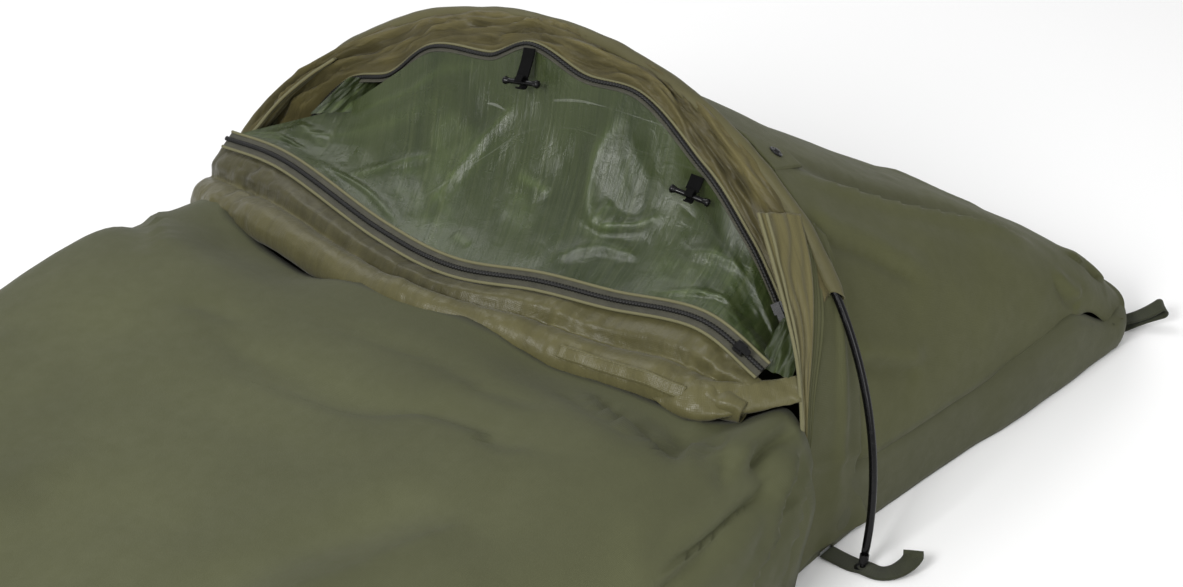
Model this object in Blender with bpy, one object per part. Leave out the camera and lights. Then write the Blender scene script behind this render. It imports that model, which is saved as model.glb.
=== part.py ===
"""Single-hoop bivy sack, pitched: a fabric bag with a tub floor, held open over the head by one pole.

The shape is worked out in a frame whose origin is on the floor, midway between the pole's feet.
+X points to the head end, +Y to the sleeper's right as they lie on their back, and +Z up.
HOOP_X then moves every object, so that the whole part is centred on its own origin.
"""

from math import asin, cos, degrees, pi, radians, sin, tan

import bmesh
import bpy
from mathutils import Matrix, Vector

# Overall sizes
HOOP_X = 0.5075
FOOT_X = -1.650
HEAD_X = 0.635
FOOT_HALF_WIDTH = 0.315
HOOP_HALF_WIDTH = 0.425
CHEST_HALF_WIDTH = 0.458
HEAD_HALF_WIDTH = 0.465
WALL_HEIGHT = 0.085
CHEST_X = -0.165
CHEST_HEIGHT = 0.222
BODY_FULLNESS = 3.9
FOOT_HEIGHT = 0.120

# Hoop: half an ellipse that leans towards the head
HOOP_HALF_SPAN = 0.475
HOOP_BASE = 0.0347
HOOP_RISE = 0.4284
HOOP_LEAN = tan(radians(11.6))
HOOP_PIVOT_Z = 0.012
POLE_RADIUS = 0.0045
POLE_BORE = 0.0036
SHOCK_CORD_RADIUS = 0.0014
SEGMENTS_PER_SECTION = 12
POLE_SECTIONS = 4
TIP_HEIGHT = 0.0185
SLEEVE_END_Z = 0.280

# Zips
ARCH_ZIP_HALF_SPAN = 0.420
ARCH_ZIP_RISE = 0.410
ARCH_ZIP_BASE = 0.020
ARCH_ZIP_SETBACK = 0.029
ARCH_ZIP_END_Z = 0.235
# The cloth's tension pulls the arch zip into waves: degrees round the arch, share of its radius
ARCH_ZIP_WAVES = (
    (25, 0.985), (39, 1.004), (47, 1.009), (59, 1.022), (73, 1.052), (83, 1.014), (93, 1.046),
    (101, 0.998), (112, 1.024), (122, 0.982), (131, 1.022), (155, 0.985),
)
TAPE_WIDTH = 0.015
TAPE_THICKNESS = 0.0012
COIL_RADIUS = 0.0022

# Cloth and webbing
CLOTH = 0.0020
FLOOR_CLOTH = 0.0030
WEB_WIDTH = 0.020
WEB_THICKNESS = 0.0016
GAP = 0.0005
LOOP_LENGTH = 0.062
LOOP_TILT = radians(14)
LOOP_HEIGHT = 0.012
SNAP_RADIUS = 0.0075
TAB_WIDTH = 0.0150
TAB_TO_BAR = 0.0058
BAR_LENGTH = 0.0480
BAR_RADIUS = 0.0048


# Toggles: name, place along the arch zip, how far the tab hangs off the zip's normal, tab length
TOGGLES = (
    ("upper_toggle", 0.520, radians(-10), 0.030),
    ("side_toggle", 0.230, radians(-28), 0.015),
)


def clear_scene():
    for obj in list(bpy.data.objects):
        bpy.data.objects.remove(obj, do_unlink=True)


def material(name, color, roughness, metallic):
    mat = bpy.data.materials.new(name)
    mat.use_nodes = True
    shader = mat.node_tree.nodes["Principled BSDF"]
    shader.inputs["Base Color"].default_value = (*color, 1.0)
    shader.inputs["Roughness"].default_value = roughness
    shader.inputs["Metallic"].default_value = metallic
    return mat


COLORS = {
    "shell": ((0.125, 0.130, 0.080), 0.75),
    "tub": ((0.100, 0.105, 0.065), 0.70),
    "lining": ((0.150, 0.125, 0.070), 0.45),
    "net": ((0.080, 0.140, 0.055), 0.45),
    "zip_tape": ((0.120, 0.105, 0.085), 0.80),
    "coil": ((0.015, 0.015, 0.015), 0.45),
    "web_olive": ((0.050, 0.060, 0.030), 0.85),
    "web_black": ((0.012, 0.012, 0.012), 0.85),
    "pole": ((0.010, 0.010, 0.012), 0.25),
    "ferrule": ((0.550, 0.550, 0.560), 0.35),
    "plastic": ((0.012, 0.012, 0.013), 0.40),
    "snap": ((0.020, 0.020, 0.022), 0.35),
    "cord": ((0.030, 0.030, 0.030), 0.80),
}
METALS = {"pole": 0.6, "ferrule": 1.0, "snap": 0.7}


def add(name, mesh, look, origin=(0.0, 0.0, 0.0)):
    """Puts a mesh that is drawn in the hoop's frame into the scene, with its origin at the given point."""
    mesh.transform(Matrix.Translation(-Vector(origin)))
    color, roughness = COLORS[look]
    mesh.materials.append(material(name + "_look", color, roughness, METALS.get(look, 0.0)))
    obj = bpy.data.objects.new(name, mesh)
    obj.location = Vector(origin) + Vector((HOOP_X, 0.0, 0.0))
    bpy.context.scene.collection.objects.link(obj)
    return obj


def mesh_from(name, verts, faces):
    mesh = bpy.data.meshes.new(name)
    mesh.from_pydata([tuple(v) for v in verts], [], faces)
    work = bmesh.new()
    work.from_mesh(mesh)
    bmesh.ops.recalc_face_normals(work, faces=work.faces)
    work.to_mesh(mesh)
    work.free()
    return mesh


def sheet(name, surface, rows, columns, look, thickness=CLOTH):
    """A panel of cloth: a grid through surface(u, v), thickened half to each side."""
    verts = [surface(i / rows, j / columns) for i in range(rows + 1) for j in range(columns + 1)]
    faces = []
    for i in range(rows):
        for j in range(columns):
            a = i * (columns + 1) + j
            b = a + columns + 1
            faces.append((a, a + 1, b + 1, b))
    mesh = bpy.data.meshes.new(name)
    mesh.from_pydata([tuple(v) for v in verts], [], faces)
    mesh.shade_smooth()
    obj = add(name, mesh, look)
    thicken = obj.modifiers.new("thickness", "SOLIDIFY")
    thicken.thickness = thickness
    thicken.offset = 0.0
    return obj


def tangents(path):
    """The direction of the path at each of its points."""
    found = []
    for i in range(len(path)):
        before = path[max(i - 1, 0)]
        after = path[min(i + 1, len(path) - 1)]
        found.append((after - before).normalized())
    return found


def ring_at(point, along, side, outline):
    across = (side - along * side.dot(along)).normalized()
    normal = along.cross(across)
    return [point + across * a + normal * b for a, b in outline]


def sweep(name, path, sides, outline, look, bore=None, sizes=None, origin=(0.0, 0.0, 0.0), smooth=False):
    """A closed body with the outline carried along the path. A bore makes it a tube."""
    path = [Vector(p) for p in path]
    along = tangents(path)
    count = len(outline)
    sizes = sizes or [1.0] * len(path)
    verts = []
    for i, point in enumerate(path):
        scaled = [(a * sizes[i], b * sizes[i]) for a, b in outline]
        verts += ring_at(point, along[i], Vector(sides[i]), scaled)
        if bore:
            verts += ring_at(point, along[i], Vector(sides[i]), bore)
    rings = 2 if bore else 1
    step = count * rings
    faces = []
    for i in range(len(path) - 1):
        for r in range(rings):
            for k in range(count):
                a = i * step + r * count + k
                b = i * step + r * count + (k + 1) % count
                faces.append((a, b, b + step, a + step))
    last = (len(path) - 1) * step
    if bore:
        for k in range(count):
            n = (k + 1) % count
            faces.append((k, n, count + n, count + k))
            faces.append((last + k, last + n, last + count + n, last + count + k))
    else:
        faces.append(tuple(range(count)))
        faces.append(tuple(last + k for k in range(count)))
    mesh = mesh_from(name, verts, faces)
    if smooth:
        mesh.shade_smooth()
        mesh.set_sharp_from_angle(angle=radians(40))
    return add(name, mesh, look, origin)


def circle(radius, count):
    return [(radius * cos(2 * pi * k / count), radius * sin(2 * pi * k / count)) for k in range(count)]


def ellipse(half_a, half_b, count):
    return [(half_a * cos(2 * pi * k / count), half_b * sin(2 * pi * k / count)) for k in range(count)]


def strip(width, thickness):
    """The outline of a flat band."""
    w = width / 2
    t = thickness / 2
    return [(-w, -t), (w, -t), (w, t), (-w, t)]


def turned(name, centre, axis, profile, count, look):
    """A body of revolution about axis: profile is a closed list of (radius, height) pairs."""
    axis = Vector(axis).normalized()
    side = axis.orthogonal().normalized()
    other = axis.cross(side)
    verts = []
    for k in range(count):
        angle = 2 * pi * k / count
        out = side * cos(angle) + other * sin(angle)
        verts += [Vector(centre) + out * r + axis * h for r, h in profile]
    size = len(profile)
    faces = []
    for k in range(count):
        for p in range(size):
            a = k * size + p
            b = k * size + (p + 1) % size
            c = ((k + 1) % count) * size
            faces.append((a, b, c + (p + 1) % size, c + p))
    mesh = mesh_from(name, verts, faces)
    work = bmesh.new()
    work.from_mesh(mesh)
    bmesh.ops.remove_doubles(work, verts=work.verts, dist=0.00001)
    bmesh.ops.dissolve_degenerate(work, edges=work.edges, dist=0.00001)
    work.to_mesh(mesh)
    work.free()
    mesh.shade_smooth()
    mesh.set_sharp_from_angle(angle=radians(40))
    return add(name, mesh, look)


def mix(a, b, share):
    return a + (b - a) * share


def smooth_step(share):
    share = min(max(share, 0.0), 1.0)
    return share * share * (3 - 2 * share)


def curve_through(points, count):
    """A smooth curve through the points, read at count + 1 places."""
    points = [Vector(p) for p in points]
    padded = [points[0] * 2 - points[1]] + points + [points[-1] * 2 - points[-2]]
    found = []
    for i in range(count + 1):
        place = i / count * (len(points) - 1)
        k = min(int(place), len(points) - 2)
        t = place - k
        p0, p1, p2, p3 = padded[k:k + 4]
        found.append(
            0.5 * (2 * p1 + (p2 - p0) * t + (2 * p0 - 5 * p1 + 4 * p2 - p3) * t ** 2
                   + (3 * p1 - p0 - 3 * p2 + p3) * t ** 3)
        )
    return found


# Curves that several pieces share

def hoop_point(turn):
    """A point of the hoop. turn runs from 0 at the -Y foot to pi at the +Y foot."""
    z = HOOP_BASE + HOOP_RISE * sin(turn)
    return Vector((HOOP_LEAN * z, -HOOP_HALF_SPAN * cos(turn), z))


def hoop_turn(z):
    return asin((z - HOOP_BASE) / HOOP_RISE)


def arch_zip_wave(turn):
    """How far the tension pulls the zip out or in at this turn, as a share of the arch's radius."""
    place = min(max(degrees(turn), ARCH_ZIP_WAVES[0][0]), ARCH_ZIP_WAVES[-1][0])
    for (start, low), (end, high) in zip(ARCH_ZIP_WAVES, ARCH_ZIP_WAVES[1:]):
        if place <= end:
            return mix(low, high, smooth_step((place - start) / (end - start)))
    return ARCH_ZIP_WAVES[-1][1]


def arch_zip_point(turn):
    pull = arch_zip_wave(turn)
    z = ARCH_ZIP_BASE + ARCH_ZIP_RISE * sin(turn) * pull
    return Vector((HOOP_LEAN * z - ARCH_ZIP_SETBACK, -ARCH_ZIP_HALF_SPAN * cos(turn) * pull, z))


def arch_zip_turn(share):
    first = asin((ARCH_ZIP_END_Z - ARCH_ZIP_BASE) / ARCH_ZIP_RISE)
    return mix(first, pi - first, share)


CHEST_LINE = [
    (-0.050, -0.378, 0.232), (-0.046, -0.290, 0.263), (-0.058, -0.180, 0.254), (-0.080, -0.100, 0.258),
    (-0.106, 0.000, 0.253), (-0.096, 0.114, 0.256), (-0.060, 0.290, 0.270), (-0.040, 0.414, 0.256),
]


def chest_point(share):
    """The line of the zip across the chest, from the -Y side to the +Y side."""
    return curve_through(CHEST_LINE, 200)[round(share * 200)]


def half_width(x):
    """Half of the floor's width at x."""
    if x < 0:
        widest = mix(HOOP_HALF_WIDTH, CHEST_HALF_WIDTH, smooth_step(-x / 0.28))
        taper = smooth_step((-x - 0.35) / (-FOOT_X - 0.35))
        return widest - (CHEST_HALF_WIDTH - FOOT_HALF_WIDTH) * taper
    return mix(HOOP_HALF_WIDTH, HEAD_HALF_WIDTH, smooth_step(x / HEAD_X))


def arch_section(share, width, base, top, fullness):
    """Across a bag from -Y to +Y: a superellipse that stands on base."""
    turn = pi * share
    power = 2 / fullness
    y = -width * abs(cos(turn)) ** power * (1 if cos(turn) > 0 else -1)
    return y, base + (top - base) * abs(sin(turn)) ** power


# Fabric body

def floor_outline(inset, corner=0.07, steps=5):
    """The floor's edge as a loop of points, with rounded corners."""
    edge = []
    for x in (-1.25, -0.9, -0.55, -0.3, -0.14, 0.0, 0.3):
        edge.append((x, -half_width(x) + inset))
    head_y = HEAD_HALF_WIDTH - inset
    corners = [(HEAD_X - inset, -head_y, -90), (HEAD_X - inset, head_y, 0)]
    for x, y, start in corners:
        for k in range(steps + 1):
            angle = radians(start + 90 * k / steps)
            centre_y = y - (1 if y > 0 else -1) * corner
            edge.append((x - corner + corner * cos(angle), centre_y + corner * sin(angle)))
    for x in (0.3, 0.0, -0.14, -0.3, -0.55, -0.9, -1.25):
        edge.append((x, half_width(x) - inset))
    foot_y = FOOT_HALF_WIDTH - inset
    corners = [(FOOT_X + inset, foot_y, 90), (FOOT_X + inset, -foot_y, 180)]
    for x, y, start in corners:
        for k in range(steps + 1):
            angle = radians(start + 90 * k / steps)
            centre_y = y - (1 if y > 0 else -1) * corner
            edge.append((x + corner + corner * cos(angle), centre_y + corner * sin(angle)))
    return edge


def ground_sheet():
    edge = floor_outline(0.0)
    count = len(edge)
    verts = [(x, y, 0.0) for x, y in edge] + [(x, y, FLOOR_CLOTH) for x, y in edge]
    faces = [tuple(range(count)), tuple(range(count, 2 * count))]
    for k in range(count):
        n = (k + 1) % count
        faces.append((k, n, count + n, count + k))
    return add("ground_sheet", mesh_from("ground_sheet", verts, faces), "tub")


def wall(name, edge, look):
    """An upright strip of cloth that stands on the floor's edge."""
    low = FLOOR_CLOTH + GAP
    high = WALL_HEIGHT
    rows = len(edge) - 1

    def surface(u, v):
        x, y = edge[round(u * rows)]
        return (x, y, mix(low, high, v))

    return sheet(name, surface, rows, 1, look)


def tub_walls():
    edge = floor_outline(0.002)
    steps_in_corner = 12
    head = edge[5:5 + 2 + steps_in_corner + 2]
    head[0] = (0.012, -half_width(0.012) + 0.002)
    head[-1] = (0.012, half_width(0.012) - 0.002)
    wall("head_tub_wall", head, "tub")
    start = 5 + 2 + steps_in_corner + 1
    foot = edge[start:] + edge[:6]
    foot[0] = (-0.006, half_width(-0.006) - 0.002)
    foot[-1] = (-0.006, -half_width(-0.006) + 0.002)
    wall("foot_tub_wall", foot, "tub")


def body_height(x):
    share = smooth_step((x - CHEST_X) / (FOOT_X - CHEST_X))
    return mix(CHEST_HEIGHT, FOOT_HEIGHT, share)


def front_of_body(share):
    """The x of the body panel's front edge: back at the chest, forward down the sides."""
    middle = smooth_step((0.5 - abs(share - 0.5)) / 0.22)
    across = min(max((share - 0.14) / 0.72, 0.0), 1.0)
    return mix(-0.030, chest_point(across).x - 0.078, middle)


def body_shell():
    def surface(u, v):
        front = front_of_body(v)
        reach = 1 - (1 - u) ** 1.6
        x = mix(front, FOOT_X + 0.002, reach)
        y, z = arch_section(v, half_width(x) - 0.002, WALL_HEIGHT + 0.002, body_height(x), BODY_FULLNESS)
        if u > 0.93:
            z = mix(z, WALL_HEIGHT + 0.002, (u - 0.93) / 0.07 * 0.8)
        return (x, y, z)

    return sheet("body_shell", surface, 14, 20, "shell")


def head_surface(u, v):
    """The hood behind the hoop. u runs from the hoop to the head end, v from -Y to +Y."""
    width = mix(HOOP_HALF_WIDTH - 0.006, HEAD_HALF_WIDTH - 0.004, u ** 0.7)
    top = mix(0.446, WALL_HEIGHT + 0.006, u)
    fullness = mix(2.5, 4.2, u ** 1.3)
    y, z = arch_section(v, width, WALL_HEIGHT + 0.002, top, fullness)
    x = mix(HOOP_LEAN * z + 0.016, HEAD_X - 0.010, u)
    return (x, y, z)


def head_shell():
    sheet("head_shell", head_surface, 8, 22, "shell")


def side_gusset(name, side):
    """The panel between the body and the hoop, from the tub wall up to the sleeve's end."""
    def surface(u, v):
        z = mix(WALL_HEIGHT + 0.003, 0.232, v)
        back = -0.026
        front = HOOP_LEAN * z + 0.010
        x = mix(back, front, u)
        y = HOOP_HALF_WIDTH - 0.004 - 0.030 * smooth_step((z - WALL_HEIGHT) / 0.18)
        return (x, side * y, z)

    return sheet(name, surface, 2, 5, "shell")


def side_strip(name, side):
    """The pleated strip that runs down the side from the storm flap."""
    path = []
    sides = []
    for k in range(7):
        z = mix(0.095, 0.228, k / 6)
        y = HOOP_HALF_WIDTH + 0.001 - 0.030 * smooth_step((z - WALL_HEIGHT) / 0.18)
        path.append((HOOP_LEAN * z - 0.022, side * y, z))
        sides.append((1.0, 0.0, 0.2))
    widths = [mix(0.35, 1.0, k / 6) for k in range(7)]
    return sweep(name, path, sides, strip(0.026, CLOTH), "lining", sizes=widths)


# Hoop, sleeve and what is sewn to them

def hoop_path():
    """The pole's own polyline, which its sections, ferrules, sleeve and shock cord all follow."""
    first = hoop_turn(TIP_HEIGHT)
    count = SEGMENTS_PER_SECTION * POLE_SECTIONS
    return [hoop_point(mix(first, pi - first, k / count)) for k in range(count + 1)]


def radial_sides(path):
    """A direction square to the hoop's plane, for each point of a path along it."""
    ahead = Vector((cos(radians(11.6)), 0.0, -sin(radians(11.6))))
    return [ahead] * len(path)


def pole():
    path = hoop_path()
    for s in range(POLE_SECTIONS):
        run = path[s * SEGMENTS_PER_SECTION:(s + 1) * SEGMENTS_PER_SECTION + 1]
        run[0] = run[0] + (run[1] - run[0]).normalized() * 0.0004
        run[-1] = run[-1] + (run[-2] - run[-1]).normalized() * 0.0004
        sweep(f"pole_section_{s + 1}", run, radial_sides(run), circle(POLE_RADIUS, 10), "pole",
              bore=circle(POLE_BORE, 10), smooth=True)
    for s in range(1, POLE_SECTIONS):
        k = s * SEGMENTS_PER_SECTION
        run = [(path[k - 1] + path[k]) / 2, path[k], (path[k] + path[k + 1]) / 2]
        sweep(f"ferrule_{s}", run, radial_sides(run), circle(0.0056, 10), "ferrule",
              bore=circle(0.0049, 10), smooth=True)
    cord = [path[0] + (path[1] - path[0]).normalized() * 0.002] + path[1:-1]
    cord.append(path[-1] + (path[-2] - path[-1]).normalized() * 0.002)
    sweep("shock_cord", cord, radial_sides(cord), circle(SHOCK_CORD_RADIUS, 6), "cord")


def pole_tip(name, side):
    top = hoop_point(hoop_turn(TIP_HEIGHT))
    foot = Vector((0.0002, top.y - 0.0004, 0.0009))
    heights = (0.0, 0.0010, 0.0068, 0.0080, TIP_HEIGHT - 0.0005)
    radii = (0.0024, 0.0032, 0.0032, 0.0052, 0.0052)
    path = [foot.lerp(top, h / TIP_HEIGHT) for h in heights]
    path = [Vector((p.x, p.y * -side, p.z)) for p in path]
    sizes = [r / radii[0] for r in radii]
    return sweep(name, path, [(1, 0, 0)] * len(path), circle(radii[0], 10), "plastic", sizes=sizes,
                 origin=(0.0, side * HOOP_HALF_SPAN, HOOP_PIVOT_Z))


def sleeve():
    path = hoop_path()
    inside = [k for k, p in enumerate(path) if p.z > SLEEVE_END_Z]
    run = path[inside[0]:inside[-1] + 1]
    sweep("pole_sleeve", run, radial_sides(run), ellipse(0.0088, 0.0078, 10), "shell",
          bore=ellipse(0.0072, 0.0066, 10), smooth=True)
    ends = ((inside[0], -1, "left_sleeve_hem"), (inside[-1], 1, "right_sleeve_hem"))
    for k, step, name in ends:
        here = path[k]
        away = (path[k + step] - here).normalized()
        run = [here + away * 0.0012, here + away * 0.0150]
        sweep(name, run, radial_sides(run), ellipse(0.0092, 0.0082, 10), "shell",
              bore=ellipse(0.0072, 0.0066, 10), smooth=True)


def storm_flap():
    """The wrinkled band from under the sleeve in to the arch zip."""
    def surface(u, v):
        turn = arch_zip_turn(mix(-0.005, 1.005, u))
        inner = arch_zip_point(turn)
        outer = hoop_point(turn)
        away = (inner - outer).normalized()
        start = outer + away * 0.0115
        end = inner - away * (TAPE_WIDTH / 2 + 0.001)
        return start.lerp(end, v)

    sheet("storm_flap", surface, 28, 2, "lining")


def across_arch_zip(turn):
    return (arch_zip_point(turn) - hoop_point(turn)).normalized()


def arch_zip():
    count = 28
    turns = [arch_zip_turn(k / count) for k in range(count + 1)]
    path = [arch_zip_point(t) for t in turns]
    sides = [across_arch_zip(t) for t in turns]
    sweep("arch_zip_tape", path, sides, strip(TAPE_WIDTH, TAPE_THICKNESS), "zip_tape")
    lift = TAPE_THICKNESS / 2 + COIL_RADIUS + 0.0008
    raised = lifted(path, sides, lift)
    sweep("arch_zip_coil", raised, sides, circle(COIL_RADIUS, 6), "coil")


def lifted(path, sides, distance):
    """The path moved along the normal that sweep gives a band."""
    found = []
    for point, along, side in zip(path, tangents(path), sides):
        across = (side - along * side.dot(along)).normalized()
        found.append(point + along.cross(across) * distance)
    return found


CHEST_ACROSS = Vector((0.80, 0.0, 0.60))


def chest_zip():
    """The closed zip along the net's lower edge: two tapes with the coil between them."""
    count = 28
    path = [chest_point(mix(0.015, 0.985, k / count)) for k in range(count + 1)]
    sides = [CHEST_ACROSS] * len(path)
    half = TAPE_WIDTH / 2 + 0.0004
    for name, shift in (("chest_zip_door_tape", -half), ("chest_zip_net_tape", half)):
        outline = [(a + shift, b) for a, b in strip(TAPE_WIDTH, TAPE_THICKNESS)]
        sweep(name, path, sides, outline, "zip_tape")
    raised = lifted(path, sides, -(TAPE_THICKNESS / 2 + COIL_RADIUS + 0.0003))
    sweep("chest_zip_coil", raised, sides, circle(COIL_RADIUS, 6), "coil")


def slider(name, pull_name, base, along, across, up):
    """A zip slider that straddles the coil, with its pull lying back along the zip."""
    along = along.normalized()
    across = (across - along * across.dot(along)).normalized()
    up = up.normalized()
    legs = [(-0.0060, 0.0), (-0.0042, 0.0), (-0.0042, 0.0058), (0.0042, 0.0058), (0.0042, 0.0),
            (0.0060, 0.0), (0.0060, 0.0074), (-0.0060, 0.0074)]
    rings = []
    for end in (-0.0060, 0.0060):
        rings.append([base + along * end + across * a + up * (b + 0.0013) for a, b in legs])
    count = len(legs)
    faces = [tuple(range(count)), tuple(range(count, 2 * count))]
    for k in range(count):
        n = (k + 1) % count
        faces.append((k, n, count + n, count + k))
    add(name, mesh_from(name, rings[0] + rings[1], faces), "plastic", origin=base)
    hinge = base + up * 0.0108 + along * 0.0040
    tab = [(-0.0012, -0.0035), (0.0160, -0.0035), (0.0180, -0.0020), (0.0180, 0.0020),
           (0.0160, 0.0035), (-0.0012, 0.0035)]
    low = [hinge - along * a + across * b - up * 0.0008 for a, b in tab]
    high = [hinge - along * a + across * b + up * 0.0008 for a, b in tab]
    count = len(tab)
    faces = [tuple(range(count)), tuple(range(count, 2 * count))]
    for k in range(count):
        n = (k + 1) % count
        faces.append((k, n, count + n, count + k))
    add(pull_name, mesh_from(pull_name, low + high, faces), "plastic", origin=hinge)


def sliders():
    turn = arch_zip_turn(0.040)
    ahead = arch_zip_point(arch_zip_turn(0.080))
    here = arch_zip_point(turn)
    along = (ahead - here).normalized()
    across = across_arch_zip(turn)
    across = (across - along * across.dot(along)).normalized()
    slider("door_zip_slider", "door_zip_pull", here, along, across, along.cross(across))
    here = chest_point(0.060)
    along = (chest_point(0.120) - here).normalized()
    across = (CHEST_ACROSS - along * CHEST_ACROSS.dot(along)).normalized()
    slider("net_zip_slider", "net_zip_pull", here, along, across, -along.cross(across))


def mosquito_net():
    def surface(u, v):
        turn = arch_zip_turn(mix(0.030, 0.970, u))
        upper = arch_zip_point(turn) + across_arch_zip(turn) * (TAPE_WIDTH / 2 + 0.002)
        lower = chest_point(mix(0.035, 0.965, u)) + CHEST_ACROSS * (TAPE_WIDTH + 0.003)
        point = upper.lerp(lower, v)
        hang = 0.035 * sin(pi * v) * sin(pi * u)
        return point + Vector((0.3, 0.0, -1.0)) * hang

    sheet("mosquito_net", surface, 22, 6, "net", thickness=0.0010)


ROLL_OFFSET = Vector((-0.0440, 0.0, -0.0270))


def rolled_door():
    """The outer door, rolled down into a soft flattened roll on the foot side of the chest zip."""
    count = 18
    path = []
    sizes = []
    for k in range(count + 1):
        share = mix(0.010, 0.990, k / count)
        path.append(chest_point(share) + ROLL_OFFSET)
        sizes.append(0.62 + 0.38 * min(1.0, sin(pi * share) * 2.2))
    sides = [(0.75, 0.0, 0.66)] * len(path)
    sweep("rolled_door", path, sides, ellipse(0.0250, 0.0150, 10), "lining", sizes=sizes, smooth=True)


def door_keeper():
    """A stitched tab that holds the roll at the -Y side."""
    centre = chest_point(0.17) + ROLL_OFFSET
    along = (chest_point(0.20) - chest_point(0.14)).normalized()
    out = Vector((-0.62, 0.0, 0.78))
    out = (out - along * out.dot(along)).normalized()
    path = [centre + out * 0.0180 + along * a for a in (-0.035, 0.0, 0.035)]
    across = along.cross(out)
    sweep("door_keeper_tab", path, [across] * 3, strip(0.012, CLOTH), "lining")


def surface_frame(surface, u, v):
    """A point on a surface, with its outward normal."""
    here = Vector(surface(u, v))
    along = Vector(surface(u + 0.01, v)) - here
    across = Vector(surface(u, v + 0.01)) - here
    normal = along.cross(across).normalized()
    if normal.z < 0:
        normal = -normal
    return here, normal


def snap(side_name, v_centre):
    """A reinforcing patch behind the sleeve, with a press stud through it."""
    def patch(u, v):
        half = mix(0.028, 0.014, u)
        point, normal = surface_frame(head_surface, mix(0.018, 0.120, u), v_centre + mix(-half, half, v))
        return point + normal * 0.0026

    sheet(side_name + "_snap_patch", patch, 2, 3, "shell", thickness=0.0012)
    centre, normal = surface_frame(head_surface, 0.056, v_centre)
    cap = [(0.0, 0.0), (SNAP_RADIUS, 0.0), (SNAP_RADIUS, 0.0010), (0.0050, 0.0024), (0.0, 0.0028)]
    turned(side_name + "_snap_cap", centre + normal * 0.0040, normal, cap, 12, "snap")
    stud = [(0.0, 0.0), (0.0060, 0.0), (0.0060, 0.0012), (0.0030, 0.0012), (0.0030, 0.0030), (0.0, 0.0030)]
    turned(side_name + "_snap_stud", centre - normal * 0.0022, -normal, stud, 12, "snap")


def toggle_frame(share, hang):
    """Where a toggle hangs on the arch zip: its pivot, its tab's width axis and its length axis."""
    turn = arch_zip_turn(share)
    along = (arch_zip_point(turn + 0.02) - arch_zip_point(turn - 0.02)).normalized()
    across = across_arch_zip(turn)
    across = (across - along * across.dot(along)).normalized()
    out = along.cross(across)
    top = arch_zip_point(turn) + across * (TAPE_WIDTH / 2 + 0.0030) + out * 0.0040
    slope = chest_point(share) + CHEST_ACROSS * TAPE_WIDTH - top
    slope = (slope - along * slope.dot(along)).normalized()
    wide = along * cos(hang) - slope * sin(hang)
    down = slope * cos(hang) + along * sin(hang)
    return top, wide, down


def toggle(name, share, hang, length):
    """A webbing tab on the arch zip's lower edge, with a bar through its end."""
    top, wide, down = toggle_frame(share, hang)
    path = [top + down * length * a for a in (0.0, 0.5, 1.0)]
    sweep(name + "_tab", path, [wide] * 3, strip(TAB_WIDTH, WEB_THICKNESS), "web_black", origin=top)
    centre = top + down * (length + TAB_TO_BAR)
    run = [centre + wide * BAR_LENGTH * a for a in (-0.50, -0.44, -0.16, 0.16, 0.44, 0.50)]
    sizes = [0.60, 0.92, 1.0, 1.0, 0.92, 0.60]
    sweep(name + "_bar", run, [down] * len(run), circle(BAR_RADIUS, 8), "plastic", sizes=sizes,
          origin=centre, smooth=True)


# Webbing on the ground

def hoop_strap(name, grommet_name, side):
    """The webbing under the pole's foot, with the grommet that the tip stands in."""
    path = [(0.0, side * 0.4315, 0.0018), (0.0, side * 0.4550, 0.0018), (0.0, side * 0.4740, 0.0018),
            (0.002, side * 0.4930, 0.0018), (0.012, side * 0.5080, 0.0028), (0.024, side * 0.5180, 0.0075),
            (0.034, side * 0.5240, 0.0145)]
    sides = [(1.0, 0.0, 0.0)] * 4
    sides += [(0.8, -side * 0.6, 0.0), (0.65, -side * 0.75, 0.0), (0.6, -side * 0.8, 0.0)]
    obj = sweep(name, path, sides, strip(0.024, WEB_THICKNESS), "web_olive")
    centre = (0.0, side * (HOOP_HALF_SPAN - 0.0002), 0.0)
    bore = [(0.0, -0.01), (0.0094, -0.01), (0.0094, 0.02), (0.0, 0.02)]
    cutter = turned(name + "_cutter", centre, (0, 0, 1), bore, 16, "web_olive")
    cutter.hide_render = True
    cutter.display_type = "WIRE"
    hole = obj.modifiers.new("grommet hole", "BOOLEAN")
    hole.operation = "DIFFERENCE"
    hole.object = cutter
    hole.solver = "EXACT"
    ring = [(0.0044, 0.0006), (0.0086, 0.0006), (0.0086, 0.0034), (0.0060, 0.0042), (0.0044, 0.0034)]
    turned(grommet_name, centre, (0, 0, 1), ring, 16, "snap")


def corner_loop(name, corner, heading):
    """A peg loop of webbing: a flat band doubled back on itself, hinged at its inner round end."""
    level = Vector((cos(heading), sin(heading), 0.0))
    across = Vector((-sin(heading), cos(heading), 0.0))
    out = level * cos(LOOP_TILT) + Vector((0.0, 0.0, sin(LOOP_TILT)))
    above = across.cross(out) * -1.0
    radius = LOOP_HEIGHT / 2
    pivot = Vector(corner) + level * (radius + 0.0020)
    pivot.z = radius + 0.0004

    def outline(r):
        points = []
        for k in range(7):
            angle = radians(90 + 30 * k)
            points.append((r * cos(angle), r * sin(angle)))
        for k in range(7):
            angle = radians(-90 + 30 * k)
            points.append((LOOP_LENGTH - 2 * radius + r * cos(angle), r * sin(angle)))
        return points

    outer = outline(radius)
    inner = outline(radius - WEB_THICKNESS)
    count = len(outer)
    verts = []
    for shift in (-WEB_WIDTH / 2, WEB_WIDTH / 2):
        for ring in (outer, inner):
            verts += [pivot + out * a + above * b + across * shift for a, b in ring]
    faces = []
    for k in range(count):
        n = (k + 1) % count
        faces.append((k, n, 2 * count + n, 2 * count + k))
        faces.append((count + k, count + n, 3 * count + n, 3 * count + k))
        faces.append((k, n, count + n, count + k))
        faces.append((2 * count + k, 2 * count + n, 3 * count + n, 3 * count + k))
    add(name, mesh_from(name, verts, faces), "web_olive", origin=pivot)


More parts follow.
